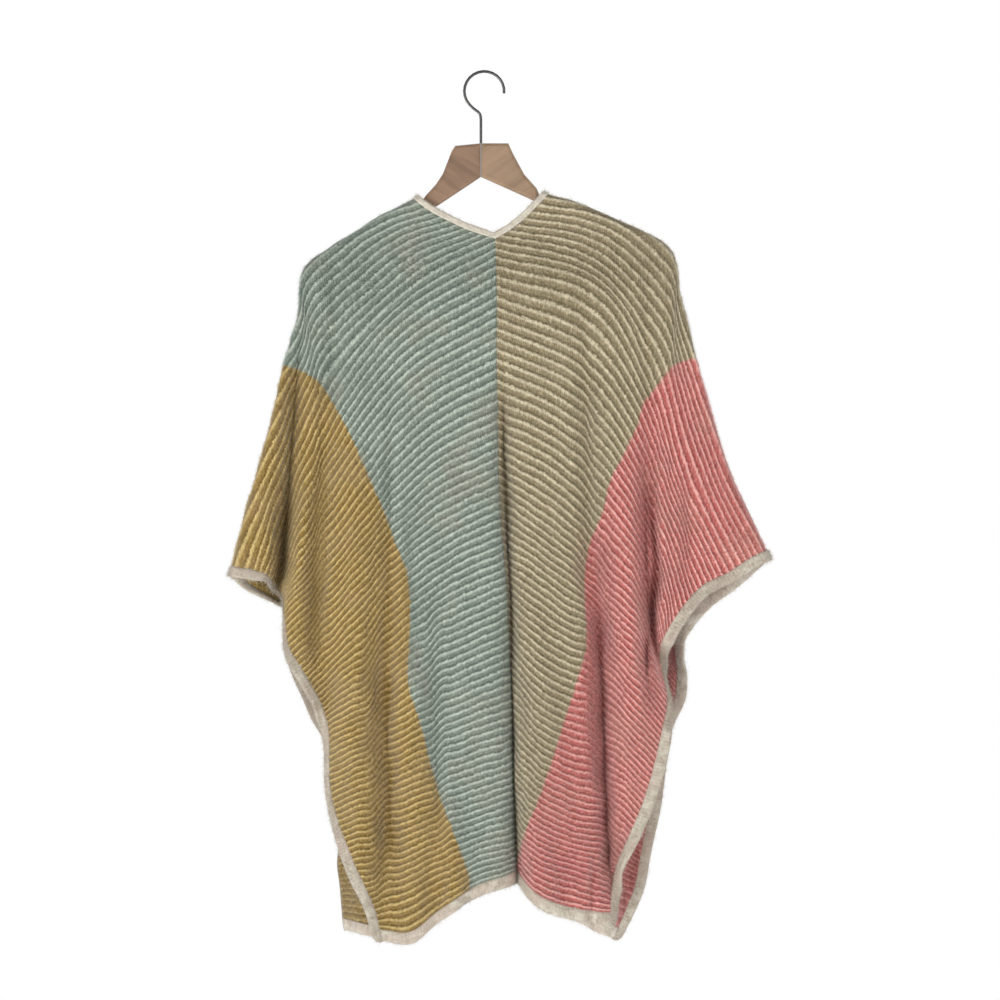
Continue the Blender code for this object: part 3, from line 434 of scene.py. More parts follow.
# ---- The knit's finer form ----
# One rib across, from furrow to furrow, as knitted: place in the rib and height as a share.
RIB_PROFILE = Table("part height", (
    (0, 0.14), (0.14, 0), (0.26, 0.64), (0.37, 1), (0.49, 0.74), (0.68, 0.26), (1, 0.14),
))
# The shoulder fold doesn't follow one rib: which rib it crosses at each place along it.
FOLD_CROSSING = Table("along left right", (
    (0, -7.3, -4), (0.24, -6.4, -3), (0.52, -7, -3.8), (0.62, -6, -3.7), (0.72, -4.2, -3),
    (0.8, -2.5, -2.5), (0.88, -1.2, -2.4), (1, 0.6, -2.8),
))
BRUSHED_AND_LIT = (170, 350)  # drops in mm between which the ridges get fuller and paler, and brighter with painted light
BRUSHED_AND_LIT_TOP = (160, 235)  # and between which those along the shoulders get plainer, and darker with painted shade
PLAIN_HEIGHT = 0.72  # height of a plain ridge, as a share of a full one's
INSIDE_SHADE = 0.8  # painted shade on the front's inside
INSIDE_CUFF = (32, 24)  # ribs between which it rises to its deepest
FRONT_SETTLE = 30  # ribs below the fold at which the front's ribs lie level again
FRONT_START = -5.0  # and the rib that the front then counts down from
# Flanks of folds, where a rib runs steeper and painted shade darkens it. Each is a line as a
# fold's is, then how far the ribs turn, in ribs, how deep their painted shade is, and half the
# flank's width in mm.
FLANKS_LEFT = {
    "under_arm": (-196, 430, -205, 730, 0.45, 0.75, 8),
    "upper_side": (-124, 420, -131, 720, 0.2, 0.25, 10),
    "lower_side": (-135, 640, -125, 1010, 0.6, 0.75, 9),
    "sleeve": (-222, 340, -253, 680, 0, 0.9, 8),
    "inner": (-67, 600, -46, 960, 0.38, 0.2, 9),
    "shoulder": (-150, 220, -170, 420, 0, 0.25, 28),
    "border": (-94, 500, -86, 740, 0, 0.65, 5),
}
FLANKS_RIGHT = {
    "waist": (132, 360, 117, 640, 0.2, 0.25, 10),
    "upper_side": (144, 540, 146, 720, 0.3, 0.5, 8),
    "lower_side": (128, 610, 138, 880, 0.55, 1, 10),
    "hem_side": (146, 820, 156, 1010, 0.3, 0.9, 8),
    "under_arm": (190, 400, 201, 800, 0, 0.8, 8),
    "sleeve": (238, 470, 242, 620, 0.2, 0.4, 7),
    "outer_sleeve": (268, 400, 322, 590, 0, 0.45, 22),
    "hem": (94, 700, 102, 1010, 0, 0.35, 24),
    "seam": (20, 480, 26, 650, 0, 0.6, 7),
}
FLANK_GROWTH = 0.25  # share of a flank's length over which it sets in
FLANK_FADE = 0.15  # and over which it fades out
FLANK_PEAK = 1.65  # makes a flank's greatest turn the one that its row gives
# Slow waves that keep the ribs from running quite even: waves along a rib, ribs to a turn, and
# how far they carry the rib, in ribs, or the cloth, in mm.
RIB_WANDER = ((3.0, 17.0, 0.040), (7.3, 9.0, 0.030), (13.1, 5.3, 0.022), (24.7, 3.1, 0.014))
CLOTH_WANDER = ((2.3, 23.0, 1.2), (4.9, 13.0, 0.8), (9.1, 7.7, 0.40), (21.0, 4.1, 0.15))
WAVE_TWIN = (0.61, 0.7, 0.7)  # a second wave's count, turn and size, as shares of the first's
WANDER_CALM = 0.35  # share of the ribs' waves near the shoulders
WANDER_GROWTH = (12, 34)  # ribs over which it grows

# A band in section, from its sewn edge over its outer face and its free edge to its inner face:
# place across as a share of the width, and height over the panel's face in mm.
BAND_SECTION = Table("across height", (
    (0, 0.5), (0.06, 1.3), (0.2, 2), (0.34, 2.3), (0.5, 1.5), (0.68, 2.3), (0.82, 1.9),
    (0.94, 1), (1, -0.4), (0.97, -1.9), (0.84, -2.9), (0.5, -3.3), (0.14, -3), (0, -2.4),
))
SECTION_INSIDE = 4  # how many of its last places lie inside


def rib_curve(stations, along):
    """Places along ribs that pass through five stations each."""
    quarter = np.clip((along * 4).astype(int), 0, 3)
    s = (along * 4 - quarter)[:, None]
    before = stations[:, :1] * 2 - stations[:, 1:2]
    after = stations[:, 4:] * 2 - stations[:, 3:4]
    points = np.concatenate([before, stations, after], axis=1)
    p0, p1, p2, p3 = (points[np.arange(len(along)), quarter + i] for i in range(4))
    return 0.5 * (2 * p1 + (p2 - p0) * s + (2 * p0 - 5 * p1 + 4 * p2 - p3) * s**2
                  + (3 * p1 - p0 - 3 * p2 + p3) * s**3)


def waves(table, rib, along):
    """A slow uneven wave over a panel, from a table of its parts."""
    total = np.zeros_like(rib)
    less, slower, smaller = WAVE_TWIN
    for number, (count, turn, size) in enumerate(table):
        lean = 1 if number % 2 else -1
        total += size * np.sin(2 * math.pi * (count * along + lean * rib / turn) + number)
        twin = count * less * along - rib / turn * slower
        total += size * smaller * np.cos(2 * math.pi * twin)
    return total


def line_parts(line, across, down):
    """How far down a line each place lies, as a share of its length, and how far beside it."""
    top_x, top_drop, foot_x, foot_drop = line
    part = (down - top_drop) / (foot_drop - top_drop)
    return part, across - (top_x + (foot_x - top_x) * part)


class HalfPanel:
    """One quarter of the garment: the left or right half of the back or the front."""

    def __init__(self, name, guides, valley, spread, folds, creases, flanks, shift=None):
        self.name = name
        self.word = name.split("_")[1]
        self.side = -1 if self.word == "left" else 1
        self.is_front = shift is not None
        self.facing = 1.0 if self.is_front else -1.0
        self.own_columns = f"{self.word}_x {self.word}_drop"
        self.guides, self.valley, self.spread, self.shift = guides, valley, spread, shift
        self.folds, self.creases, self.flanks = folds, creases, flanks

    def inner_end(self, rib):
        """Where a rib starts: on the back neckline, or at the centre seam."""
        on_neck = (rib < CENTRE_SEAM.places[0])[:, None]
        return np.where(on_neck, NECKLINE.curve(rib, self.own_columns), CENTRE_SEAM.curve(rib))

    def flat_place(self, rib, along):
        """Across and down places of points on the ribs, in metres."""
        def stations_at(rib):
            outer = self.guides.curve(rib).reshape(-1, 4, 2)
            return np.concatenate([self.inner_end(rib)[:, None], outer], axis=1)

        stations = stations_at(rib)
        if self.is_front:
            start = FRONT_NECK.line(rib, "start")
            along = start + (1 - start) * along
            moved = self.shift.curve(rib)
            stations[:, 4] += moved
            stations[:, 3] += SHIFT_SHARE * moved
        top = np.broadcast_to(stations_at(np.zeros(1)), stations.shape)
        line = SHOULDER_LINE.curve(along, self.own_columns)
        share = (1 - ease(rib, 0, SHOULDER_REACH))[:, None]
        return (rib_curve(stations, along) + share * (line - rib_curve(top, along))) * MM

    def hanging_folds(self, place):
        """Depth of the hanging folds at a place, + away from the viewer."""
        depth = np.zeros(len(place))
        for table, share in ((self.folds, DEEPENING), (self.creases, 1.0)):
            for *line, height, left, right in table.values():
                part, off = line_parts(line, *place.T / MM)
                grown = ease(part, 0, FOLD_GROWTH) * ease(1 - part, 0, FOLD_FADE)
                bell = np.exp(-(off / np.where(off < 0, left, right)) ** 2)
                depth += height * share * grown * bell
        return depth * MM

    def flank(self, points):
        """How far the ribs turn, and how deep their painted shade is, at points on the flanks of
        folds.
        """
        across, down = points[..., 0] / MM, -points[..., 2] / MM
        turn, dull = np.zeros_like(across), np.zeros_like(across)
        for *line, turned, dulled, width in self.flanks.values():
            part, off = line_parts(line, across, down)
            off = off / width
            grown = ease(part, 0, FLANK_GROWTH) * ease(1 - part, 0, FLANK_FADE)
            bell = grown * np.exp(-0.5 * off**2)
            turn -= self.side * turned * FLANK_PEAK * off * bell
            dull += dulled * bell
        return turn, np.clip(dull, 0.0, 1.0)

    def seam_fold(self, rib, place):
        """Depth of the fold down the centre seam, and of the crease on its floor."""
        away = np.linalg.norm(place - self.flat_place(rib, np.zeros_like(rib)), axis=1) / MM
        down = place[:, 1] / MM
        aside = SEAM_FOLD_ASIDE * (1 - ease(down, *SEAM_FOLD_ON_SEAM))
        off = np.abs(self.side * away - aside)
        shape = SEAM_FOLD_DEPTH * np.exp(-(off / SEAM_FOLD_WIDTH) ** SEAM_FOLD_POWER)
        crease = SEAM_CREASE_DEPTH * np.exp(-off / SEAM_CREASE_WIDTH)
        share = SEAM_FOLD_FRONT if self.is_front else 1.0
        return (shape + crease) * share * ease(down, *SEAM_FOLD_DROPS) * MM

    def valley_depth(self, rib, along):
        floor, depth, outer, inner = self.valley.curve(along).T
        off = rib - floor
        off = off / np.where(off < 0, outer, inner)
        shape = np.cos(np.clip(off, -1, 1) * math.pi / 2) ** 2
        share = FRONT_VALLEY if self.is_front else 1.0
        return np.where(along > self.valley.places[0], depth, 0.0) * share * shape * MM

    def edge_curl(self, rib, along):
        curl = -self.facing * EDGE_CURL.line(rib, self.name)
        return curl * np.clip((along - CURL_START) / (1 - CURL_START), 0, 1) ** 2 * MM

    def point(self, rib, along):
        """Points of the plain outer face, before the ribs are raised."""
        rib, along = (np.atleast_1d(v).astype(float) for v in np.broadcast_arrays(rib, along))
        rib, along = np.clip(rib, 0, RIB_COUNT), np.clip(along, 0, 1)
        place = self.flat_place(rib, along)
        fold_line = self.flat_place(np.zeros_like(rib), along)
        reach = np.linalg.norm(place - fold_line, axis=1) / WRAP_REACH
        near = np.clip(1 - reach, 0.0, 1.0)
        wrap = (1 - near**WRAP_BLUNTNESS) ** (1 / WRAP_BLUNTNESS)
        at_centre, at_side = self.spread.curve(rib).T * MM
        reached = ease((along - STAND_START) / STAND_RUN)
        stand = at_centre + (at_side - at_centre) * reached
        inward = (self.hanging_folds(place) + self.seam_fold(rib, place)
                  + self.valley_depth(rib, along) + self.edge_curl(rib, along))
        out = FOLD_GAP + stand * wrap - inward * np.clip(reach / WRAP_CLEAR, 0.0, 1.0)
        return np.stack([place[:, 0], self.facing * out, -place[:, 1]], axis=1)

    def frame(self, rib, along):
        """Directions along the rib, down the ribs and out of the cloth."""
        down = unit(self.point(rib + RIB_STEP, along) - self.point(rib - RIB_STEP, along))
        out_along = unit(self.point(rib, along + ALONG_STEP)
                         - self.point(rib, along - ALONG_STEP))
        return out_along, down, unit(np.cross(down, out_along)) * self.side * -self.facing

    def cloth_points(self, rib, along, height):
        """Points at a height over the outer face of the cloth, with its slow unevenness."""
        calm = ease(rib, 0, EDGE_CALM) * ease(RIB_COUNT - rib, 0, EDGE_CALM)
        calm *= ease(along, 0, SIDE_CALM) * ease(1 - along, 0, SIDE_CALM)
        lumps = waves(CLOTH_WANDER, rib, along) * calm * MM
        normal = self.frame(rib, along)[2]
        place = self.point(rib, along) + normal * (height + lumps)[:, None]
        depth = self.facing * place[:, 1]
        place[:, 1] = self.facing * np.where(rib < FOLD_RIBS, np.maximum(depth, FOLD_GAP), depth)
        return place


BACK_LEFT = HalfPanel("back_left", GUIDES_LEFT, VALLEY_LEFT, SPREAD_BACK, FOLDS_BACK_LEFT,
                      CREASES_LEFT, FLANKS_LEFT)
BACK_RIGHT = HalfPanel("back_right", GUIDES_RIGHT, VALLEY_RIGHT, SPREAD_BACK, FOLDS_BACK_RIGHT,
                       CREASES_RIGHT, FLANKS_RIGHT)
FRONT_LEFT = HalfPanel("front_left", GUIDES_LEFT, VALLEY_LEFT, SPREAD_FRONT, FOLDS_FRONT_LEFT,
                       {}, {}, FRONT_SHIFT_LEFT)
FRONT_RIGHT = HalfPanel("front_right", GUIDES_RIGHT, VALLEY_RIGHT, SPREAD_FRONT,
                        FOLDS_FRONT_RIGHT, {}, {}, FRONT_SHIFT_RIGHT)


# ---- Meshes ----
def grid_faces(number, flip):
    """Four-sided faces of a grid of numbered points."""
    corners = (number[:-1, :-1], number[:-1, 1:], number[1:, 1:], number[1:, :-1])
    faces = np.stack([c.ravel() for c in corners], axis=1)
    return faces[:, ::-1] if flip else faces


def stitch_faces(first, first_at, second, second_at, flip):
    """Three-sided faces between two columns of points that have different rows."""
    faces = []
    i = j = 0
    while i < len(first) - 1 or j < len(second) - 1:
        if j == len(second) - 1 or (
                i < len(first) - 1 and first_at[i + 1] <= second_at[j + 1]):
            faces.append((first[i], first[i + 1], second[j]))
            i += 1
        else:
            faces.append((first[i], second[j + 1], second[j]))
            j += 1
    return [face[::-1] for face in faces] if flip else faces


def twice_area(quads):
    """Four-sided faces' outward directions, as long as twice their areas."""
    return np.cross(quads[:, 2] - quads[:, 0], quads[:, 3] - quads[:, 1])


def new_piece(name, points, faces, material, slot_name, knit_places=None, **values):
    """A smooth mesh that rides on the one body, with its stitches' places and point values."""
    mesh = bpy.data.meshes.new(name)
    mesh.from_pydata(points.tolist(), [], faces)
    mesh.validate()
    mesh.shade_smooth()
    mesh.materials.append(material)
    piece = bpy.data.objects.new(name, mesh)
    bpy.context.scene.collection.objects.link(piece)
    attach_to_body(piece, "root")
    if knit_places is not None:
        corner = np.empty(len(mesh.loops), np.int32)
        mesh.loops.foreach_get("vertex_index", corner)
        layer = mesh.uv_layers.new(name="knit")
        layer.data.foreach_set("uv", knit_places.astype(np.float32)[corner].ravel())
    for value_name, value in values.items():
        attribute = mesh.attributes.new(value_name, "FLOAT", "POINT")
        attribute.data.foreach_set("value", value.astype(np.float32))
    return piece


def beyond_colour_line(panel, points):
    """Distance past the line between the two blocks of colour, + in the lower one, in metres."""
    drop = -points[:, 2] / MM
    sideways = (points[:, 0] / MM - COLOUR_LINE.curve(drop, panel.word + "_x")) * panel.side
    return np.minimum(sideways, drop - COLOUR_LINE.places[0]) * MM


def ridge_numbers(panel, at, along):
    """Where each point of a grid lies among the ridges, how deep its painted shade is, and its
    drop in mm.
    """
    rib, share = np.meshgrid(at, along, indexing="ij")
    points = panel.point(rib.ravel(), share.ravel()).reshape(*rib.shape, 3)
    run = np.linalg.norm(np.diff(points, axis=0, prepend=points[:1]), axis=2).cumsum(axis=0)
    foot = int(np.argmax(at >= BACK_NECK_FOOT))
    crossing = FOLD_CROSSING.curve(along, panel.word)  # the fold cuts the ridges at a slant
    upper = crossing + (at[foot] - crossing) * np.clip(run / run[foot], 0, 1)
    number = np.where(rib < at[foot], upper, rib)
    if panel.is_front:
        settled = ease(rib, 0, FRONT_SETTLE)
        number = 2 * crossing * (1 - settled) + FRONT_START * settled - number
    grown = WANDER_CALM + (1 - WANDER_CALM) * ease(rib, *WANDER_GROWTH)
    turn, dull = panel.flank(points)
    return number + turn + grown * waves(RIB_WANDER, rib, share), dull, points[..., 2] / -MM


def make_panel(panel, column_count, rows_per_rib, rise, wall, material, slot_name):
    """A thin shell with raised ribs outside, and low ribs between them inside."""
    part = RIB_PROFILE["part"]
    steps = part[:-1] if rows_per_rib == len(part) - 1 else np.arange(rows_per_rib) / rows_per_rib
    outer_at = np.concatenate([
        np.linspace(0, BACK_NECK_FOOT, UPPER_ROWS * rows_per_rib + 1)[:-1],
        (np.arange(BACK_NECK_FOOT, RIB_COUNT)[:, None] + steps).ravel(), [RIB_COUNT]])
    inner_at = np.concatenate([np.linspace(0, BACK_NECK_FOOT, INNER_ROWS + 1)[:-1],
                               np.arange(2 * BACK_NECK_FOOT, 2 * RIB_COUNT + 1) / 2])
    along = np.linspace(0, 1, column_count)
    calm = np.minimum(ease(along, 0, RIM_CALM), ease(1 - along, 0, RIM_CALM))
    calm = RIM_HEIGHT + (1 - RIM_HEIGHT) * calm

    def layer(at, base, reach, turn):
        """A face's points, the places of their stitches, their painted shade, and their nap, which
        partly paints light.
        """
        rib, share = (v.ravel() for v in np.meshgrid(at, along, indexing="ij"))
        number, dull, drop = (v.ravel() for v in ridge_numbers(panel, at, along))
        raised = RIB_PROFILE.line((number + turn) % 1.0, "height") * np.tile(calm, len(at))
        brushed = ease(drop, *BRUSHED_AND_LIT) + 1 - ease(drop, *BRUSHED_AND_LIT_TOP)
        height = reach * raised * (PLAIN_HEIGHT + (1 - PLAIN_HEIGHT) * brushed)
        points = panel.cloth_points(rib, share, base + height)
        # The front's inside gets painted shade, deepest towards the cuff.
        if panel.is_front and reach < 0:
            dull = INSIDE_SHADE + (1 - INSIDE_SHADE) * ease(rib, *INSIDE_CUFF)
        return np.column_stack([points, share * CUT_WIDTH / STITCH, number, dull, brushed])

    outer = layer(outer_at, 0.0, rise, 0.0)
    inner = layer(inner_at, -wall, -INNER_RISE, 0.5)
    values = np.concatenate([outer, inner])
    points = values[:, :3]
    number = np.arange(len(values)).reshape(-1, column_count)
    outside, inside = number[:len(outer_at)], number[len(outer_at):]
    flip = panel.side * panel.facing < 0
    outer_faces = grid_faces(outside, flip)
    faces = outer_faces.tolist() + grid_faces(inside, not flip).tolist()
    for edge, way in ((0, flip), (-1, not flip)):
        faces += stitch_faces(outside[:, edge].tolist(), outer_at,
                              inside[:, edge].tolist(), inner_at, way)
        faces += grid_faces(np.stack([outside[edge], inside[edge]]), not way).tolist()
    piece = new_piece(panel.name + "_knit", points, faces, material, slot_name, values[:, 3:5],
                      lower_block=beyond_colour_line(panel, points), dulled=values[:, 5],
                      brushed=values[:, 6])
    return piece, points[outer_faces]


# ---- Bands ----
def even_out(values, reach, ends="edge"):
    """Directions with their sudden turns taken out, over some rows to either side."""
    weight = np.exp(-0.5 * (np.arange(-2 * reach, 2 * reach + 1) / reach) ** 2)
    padded = np.pad(values, ((2 * reach, 2 * reach), (0, 0)), mode=ends)
    return unit(np.stack([np.convolve(column, weight / weight.sum(), mode="valid")
                          for column in padded.T], axis=1))


def edge_path(panel, ribs, end):
    """Along a panel's side edge: its points, and directions out of it, up and along it."""
    run = unit(panel.point(ribs + BAND_STEP, end) - panel.point(ribs - BAND_STEP, end))
    out_along, _, normal = panel.frame(ribs, end)
    if end == 0:
        out_along = -out_along
    outward = out_along - run * np.sum(out_along * run, axis=1)[:, None]
    return panel.point(ribs, end), unit(outward), normal, run


def join_halves(halves, reach):
    """Two halves' rows in one line, from the first's far end to the second's."""
    points, outward, normal, *more = (
        np.concatenate([first[::-1], second[1:]]) for first, second in zip(*halves))
    return points, even_out(outward, reach), even_out(normal, reach), *more


def side_band_path(back, front):
    """Up the back's side edge, round the cuff, over the fold and down the front."""
    ribs = np.concatenate([
        np.linspace(0, 1, BAND_TURN_STEPS + 1) ** 2 * BAND_TURN,
        np.arange(BAND_TURN + BAND_STRIDE, RIB_COUNT, BAND_STRIDE),
        [RIB_COUNT] * (CORNER_STEPS + 1)])
    lower = np.zeros(len(ribs))
    lower[-CORNER_STEPS - 1:] = np.linspace(0, 1, CORNER_STEPS + 1)
    rounded = CORNER_WIDTH + (1 - CORNER_WIDTH) * np.sqrt(1 - (lower * CORNER_ROUND) ** 2)
    halves = []
    for panel in (back, front):
        points, outward, normal, run = edge_path(panel, ribs, 1)
        roll = np.radians(BAND_ROLL.line(ribs, panel.name))[:, None]
        dull = BAND_PAINTED_SHADE.line(ribs, panel.name)
        halves.append((points + run * (HEM_BAND_WIDTH * lower)[:, None],
                       outward * np.cos(roll) - normal * np.sin(roll),
                       normal * np.cos(roll) + outward * np.sin(roll),
                       SIDE_BAND_WIDTH * (1 - BAND_GATHER * dull) * rounded, dull))
    return join_halves(halves, BAND_EVEN)


def hem_band_path(left, right):
    along = np.linspace(0, 1, HEM_STEPS)
    halves = [(panel.point(RIB_COUNT, along), *panel.frame(RIB_COUNT, along)[1:],
               np.full(HEM_STEPS, HEM_BAND_WIDTH)) for panel in (left, right)]
    return join_halves(halves, HEM_EVEN)


def neck_band_path():
    """A closed ring: down the back neckline, up it again, and round the front's V."""
    quarters = []
    for panel, foot, way in ((BACK_LEFT, BACK_NECK_FOOT, 1), (BACK_RIGHT, BACK_NECK_FOOT, -1),
                             (FRONT_RIGHT, FRONT_NECK_FOOT, 1), (FRONT_LEFT, FRONT_NECK_FOOT, -1)):
        path = edge_path(panel, np.linspace(0, 1, NECK_STEPS) ** NECK_CROWDING * foot, 0)
        quarters.append([v[::way][:-1] for v in path[:3]])
    points, outward, normal = (np.concatenate(v) for v in zip(*quarters))
    return (points, even_out(outward, NECK_EVEN, "wrap"), even_out(normal, NECK_EVEN, "wrap"),
            np.full(len(points), NECK_BAND_WIDTH))


def sweep_band(name, material, points, outward, normal, widths, dull=None, closed=False):
    """A knitted band with a rounded section, swept along its sewn edge."""
    across, height = BAND_SECTION["across"], BAND_SECTION["height"] * MM
    count, size = len(points), len(across)
    run = np.linalg.norm(np.diff(points, axis=0, prepend=points[:1]), axis=1).cumsum()
    (long, short), (first, second, third) = SWELLS, SWELL_LENGTHS
    swell = (1 + long * np.sin(run / first)
             + short * np.sin(run / second + 1) * np.cos(run / third))
    thick = swell * (widths / widths.max()) ** 0.5
    reach = np.outer(widths, across) - BAND_TUCK
    rings = (points[:, None] + outward[:, None] * reach[..., None]
             + normal[:, None] * np.outer(thick, height)[..., None])
    solid = rings.reshape(-1, 3)
    number = np.arange(count * size).reshape(count, size)
    around = np.concatenate([number, number[:, :1]], axis=1)
    if closed:
        around = np.concatenate([around, around[:1]], axis=0)
    turned = np.dot(np.cross(outward[0], points[1] - points[0]), normal[0]) < 0
    sides = grid_faces(around, turned)
    way = 1 if turned else -1
    caps = [] if closed else [number[0, ::way].tolist(), number[-1, ::-way].tolist()]
    dull = np.zeros(count) if dull is None else dull
    places = np.stack([np.repeat(run / STITCH, size), np.tile(np.linspace(0, 1, size), count)],
                      axis=1)
    piece = new_piece(name, solid, sides.tolist() + caps, material, "knit_band", places,
                      dulled=np.repeat(dull, size))
    return piece, solid[sides[(sides % size).max(axis=1) < size - SECTION_INSIDE]]


# ---- Brushed fibres ----
def scatter_fibres(name, quads, count, seed, material, slot_name):
    """Fine needles that lean out of a surface, given by its four-sided faces' corners."""
    chance = np.random.default_rng(seed)
    area = np.linalg.norm(twice_area(quads), axis=1)
    corners = quads[chance.choice(len(quads), count, p=area / area.sum())]
    u, v = chance.random((2, count, 1))
    root = (corners[:, 0] * (1 - u) * (1 - v) + corners[:, 1] * u * (1 - v)
            + corners[:, 2] * u * v + corners[:, 3] * (1 - u) * v)
    normal = unit(twice_area(corners))
    run = unit(corners[:, 1] - corners[:, 0] + 1e-9)
    run = unit(run - normal * np.sum(run * normal, axis=1)[:, None])
    turn = (chance.normal(0, FIBRE_TURN, count) + math.pi * chance.integers(0, 2, count))[:, None]
    way = run * np.cos(turn) + np.cross(normal, run) * np.sin(turn)
    lean = chance.uniform(*FIBRE_LEAN, (count, 1))
    length = chance.uniform(*FIBRE_LENGTH, (count, 1))
    across = np.cross(normal, way) * FIBRE_RADIUS
    root = root - normal * FIBRE_ROOT
    tip = root + length * (way * np.cos(lean) + normal * np.sin(lean))
    foot = root + normal * FIBRE_RADIUS * FIBRE_ARCH
    points = np.stack([root + across, root - across, foot, tip], axis=1).reshape(-1, 3)
    needle = np.array(((0, 1, 2), (0, 3, 1), (1, 3, 2), (2, 3, 0)))
    faces = (np.arange(count)[:, None, None] * 4 + needle).reshape(-1, 3)
    return new_piece(name, points, faces.tolist(), material, slot_name)


def brush(quads, panel, count, naps, first_seed, slot_name):
    """Fibres over a panel's outside, in the yarn of the block that each stands on."""
    lower = beyond_colour_line(panel, quads.mean(axis=1)) > 0
    area = np.linalg.norm(twice_area(quads), axis=1)
    for number, (yarn, mask) in enumerate(zip(BLOCKS[panel.word], (~lower, lower))):
        share = area[mask].sum() / area.sum()
        scatter_fibres(f"{panel.name}_{yarn}_nap", quads[mask], int(count * share),
                       first_seed + number, naps[yarn], slot_name)


# ---- Materials ----
def brighter(colour, share):
    return tuple(c * share for c in colour)


class Shade:
    """A value that varies over a surface. Arithmetic on it adds Math nodes to its material."""

    def __init__(self, tree, socket=None):
        self.tree = tree
        self.socket = socket

    def make(self, kind, inputs, output=0, stops=(), **settings):
        """Adds any node: its settings are set first, then its sockets by name or number."""
        node = self.tree.nodes.new(kind)
        for name, value in settings.items():
            setattr(node, name, value)
        for number, (place, colour) in enumerate(stops):
            ramp = node.color_ramp.elements
            stop = ramp[number] if number < len(ramp) else ramp.new(1.0)
            stop.position, stop.color = place, (*colour, 1.0)
        for name, value in inputs.items():
            if isinstance(value, Shade):
                self.tree.links.new(value.socket, node.inputs[name])
            else:
                node.inputs[name].default_value = value
        return Shade(self.tree, node.outputs[output])

    def math(self, operation, *values):
        return self.make("ShaderNodeMath", dict(enumerate(values)), operation=operation)

    def __add__(self, other):
        return self.math("ADD", self, other)

    def __sub__(self, other):
        return self.math("SUBTRACT", self, other)

    def __rsub__(self, other):
        return self.math("SUBTRACT", other, self)

    def __mul__(self, other):
        return self.math("MULTIPLY", self, other)

    __radd__ = __add__
    __rmul__ = __mul__

    def fraction(self):
        return self.math("FRACT", self)

    def size(self):
        return self.math("ABSOLUTE", self)

    def wave(self):
        """From 0 to 1 and back, once for each whole number."""
        return self.math("SINE", self * (2 * math.pi)) * 0.5 + 0.5

    def step(self, low, high):
        """A soft step from 0 at low to 1 at high."""
        return self.make("ShaderNodeMapRange",
                         {"Value": self, "From Min": low, "From Max": high},
                         interpolation_type="SMOOTHSTEP")

    def mix(self, first, second):
        """A colour between two, by this value."""
        first, second = (c if isinstance(c, Shade) else (*c, 1.0) for c in (first, second))
        return self.make("ShaderNodeMix", {0: self, 6: first, 7: second}, 2, data_type="RGBA")

    def axis(self, name):
        return self.make("ShaderNodeSeparateXYZ", {0: self}, name)

    def noise(self, scale, detail=2.0, roughness=0.5):
        """Unevenness about 0."""
        return self.make("ShaderNodeTexNoise", {"Vector": self, "Scale": scale,
                                                "Detail": detail, "Roughness": roughness}) - 0.5

    def mapping(self, **sockets):
        return self.make("ShaderNodeMapping", {"Vector": self, **sockets})

    def attribute(self, name):
        return self.make("ShaderNodeAttribute", {}, "Fac", attribute_name=name)

    def bump(self, strength, distance):
        return self.make("ShaderNodeBump", {"Strength": strength, "Distance": distance,
                                            "Height": self})


def shader_socket(tree, name):
    return tree.nodes["Principled BSDF"].inputs[name.replace("_", " ")]


def new_material(name, **constants):
    """A material with its shader's constant values, and the places on its object."""
    material = bpy.data.materials.new(name)
    material.use_nodes = True
    for socket, value in constants.items():
        shader_socket(material.node_tree, socket).default_value = value
    root = Shade(material.node_tree)
    return material, root.make("ShaderNodeTexCoord", {}, "Object")


def weighed(shares, *shades):
    """The sum of values, each by its share."""
    return sum(shade * share for share, shade in zip(shares, shades))


def attach(**values):
    """Links values to the shader's sockets of these names."""
    for socket, value in values.items():
        value.tree.links.new(value.socket, shader_socket(value.tree, socket))


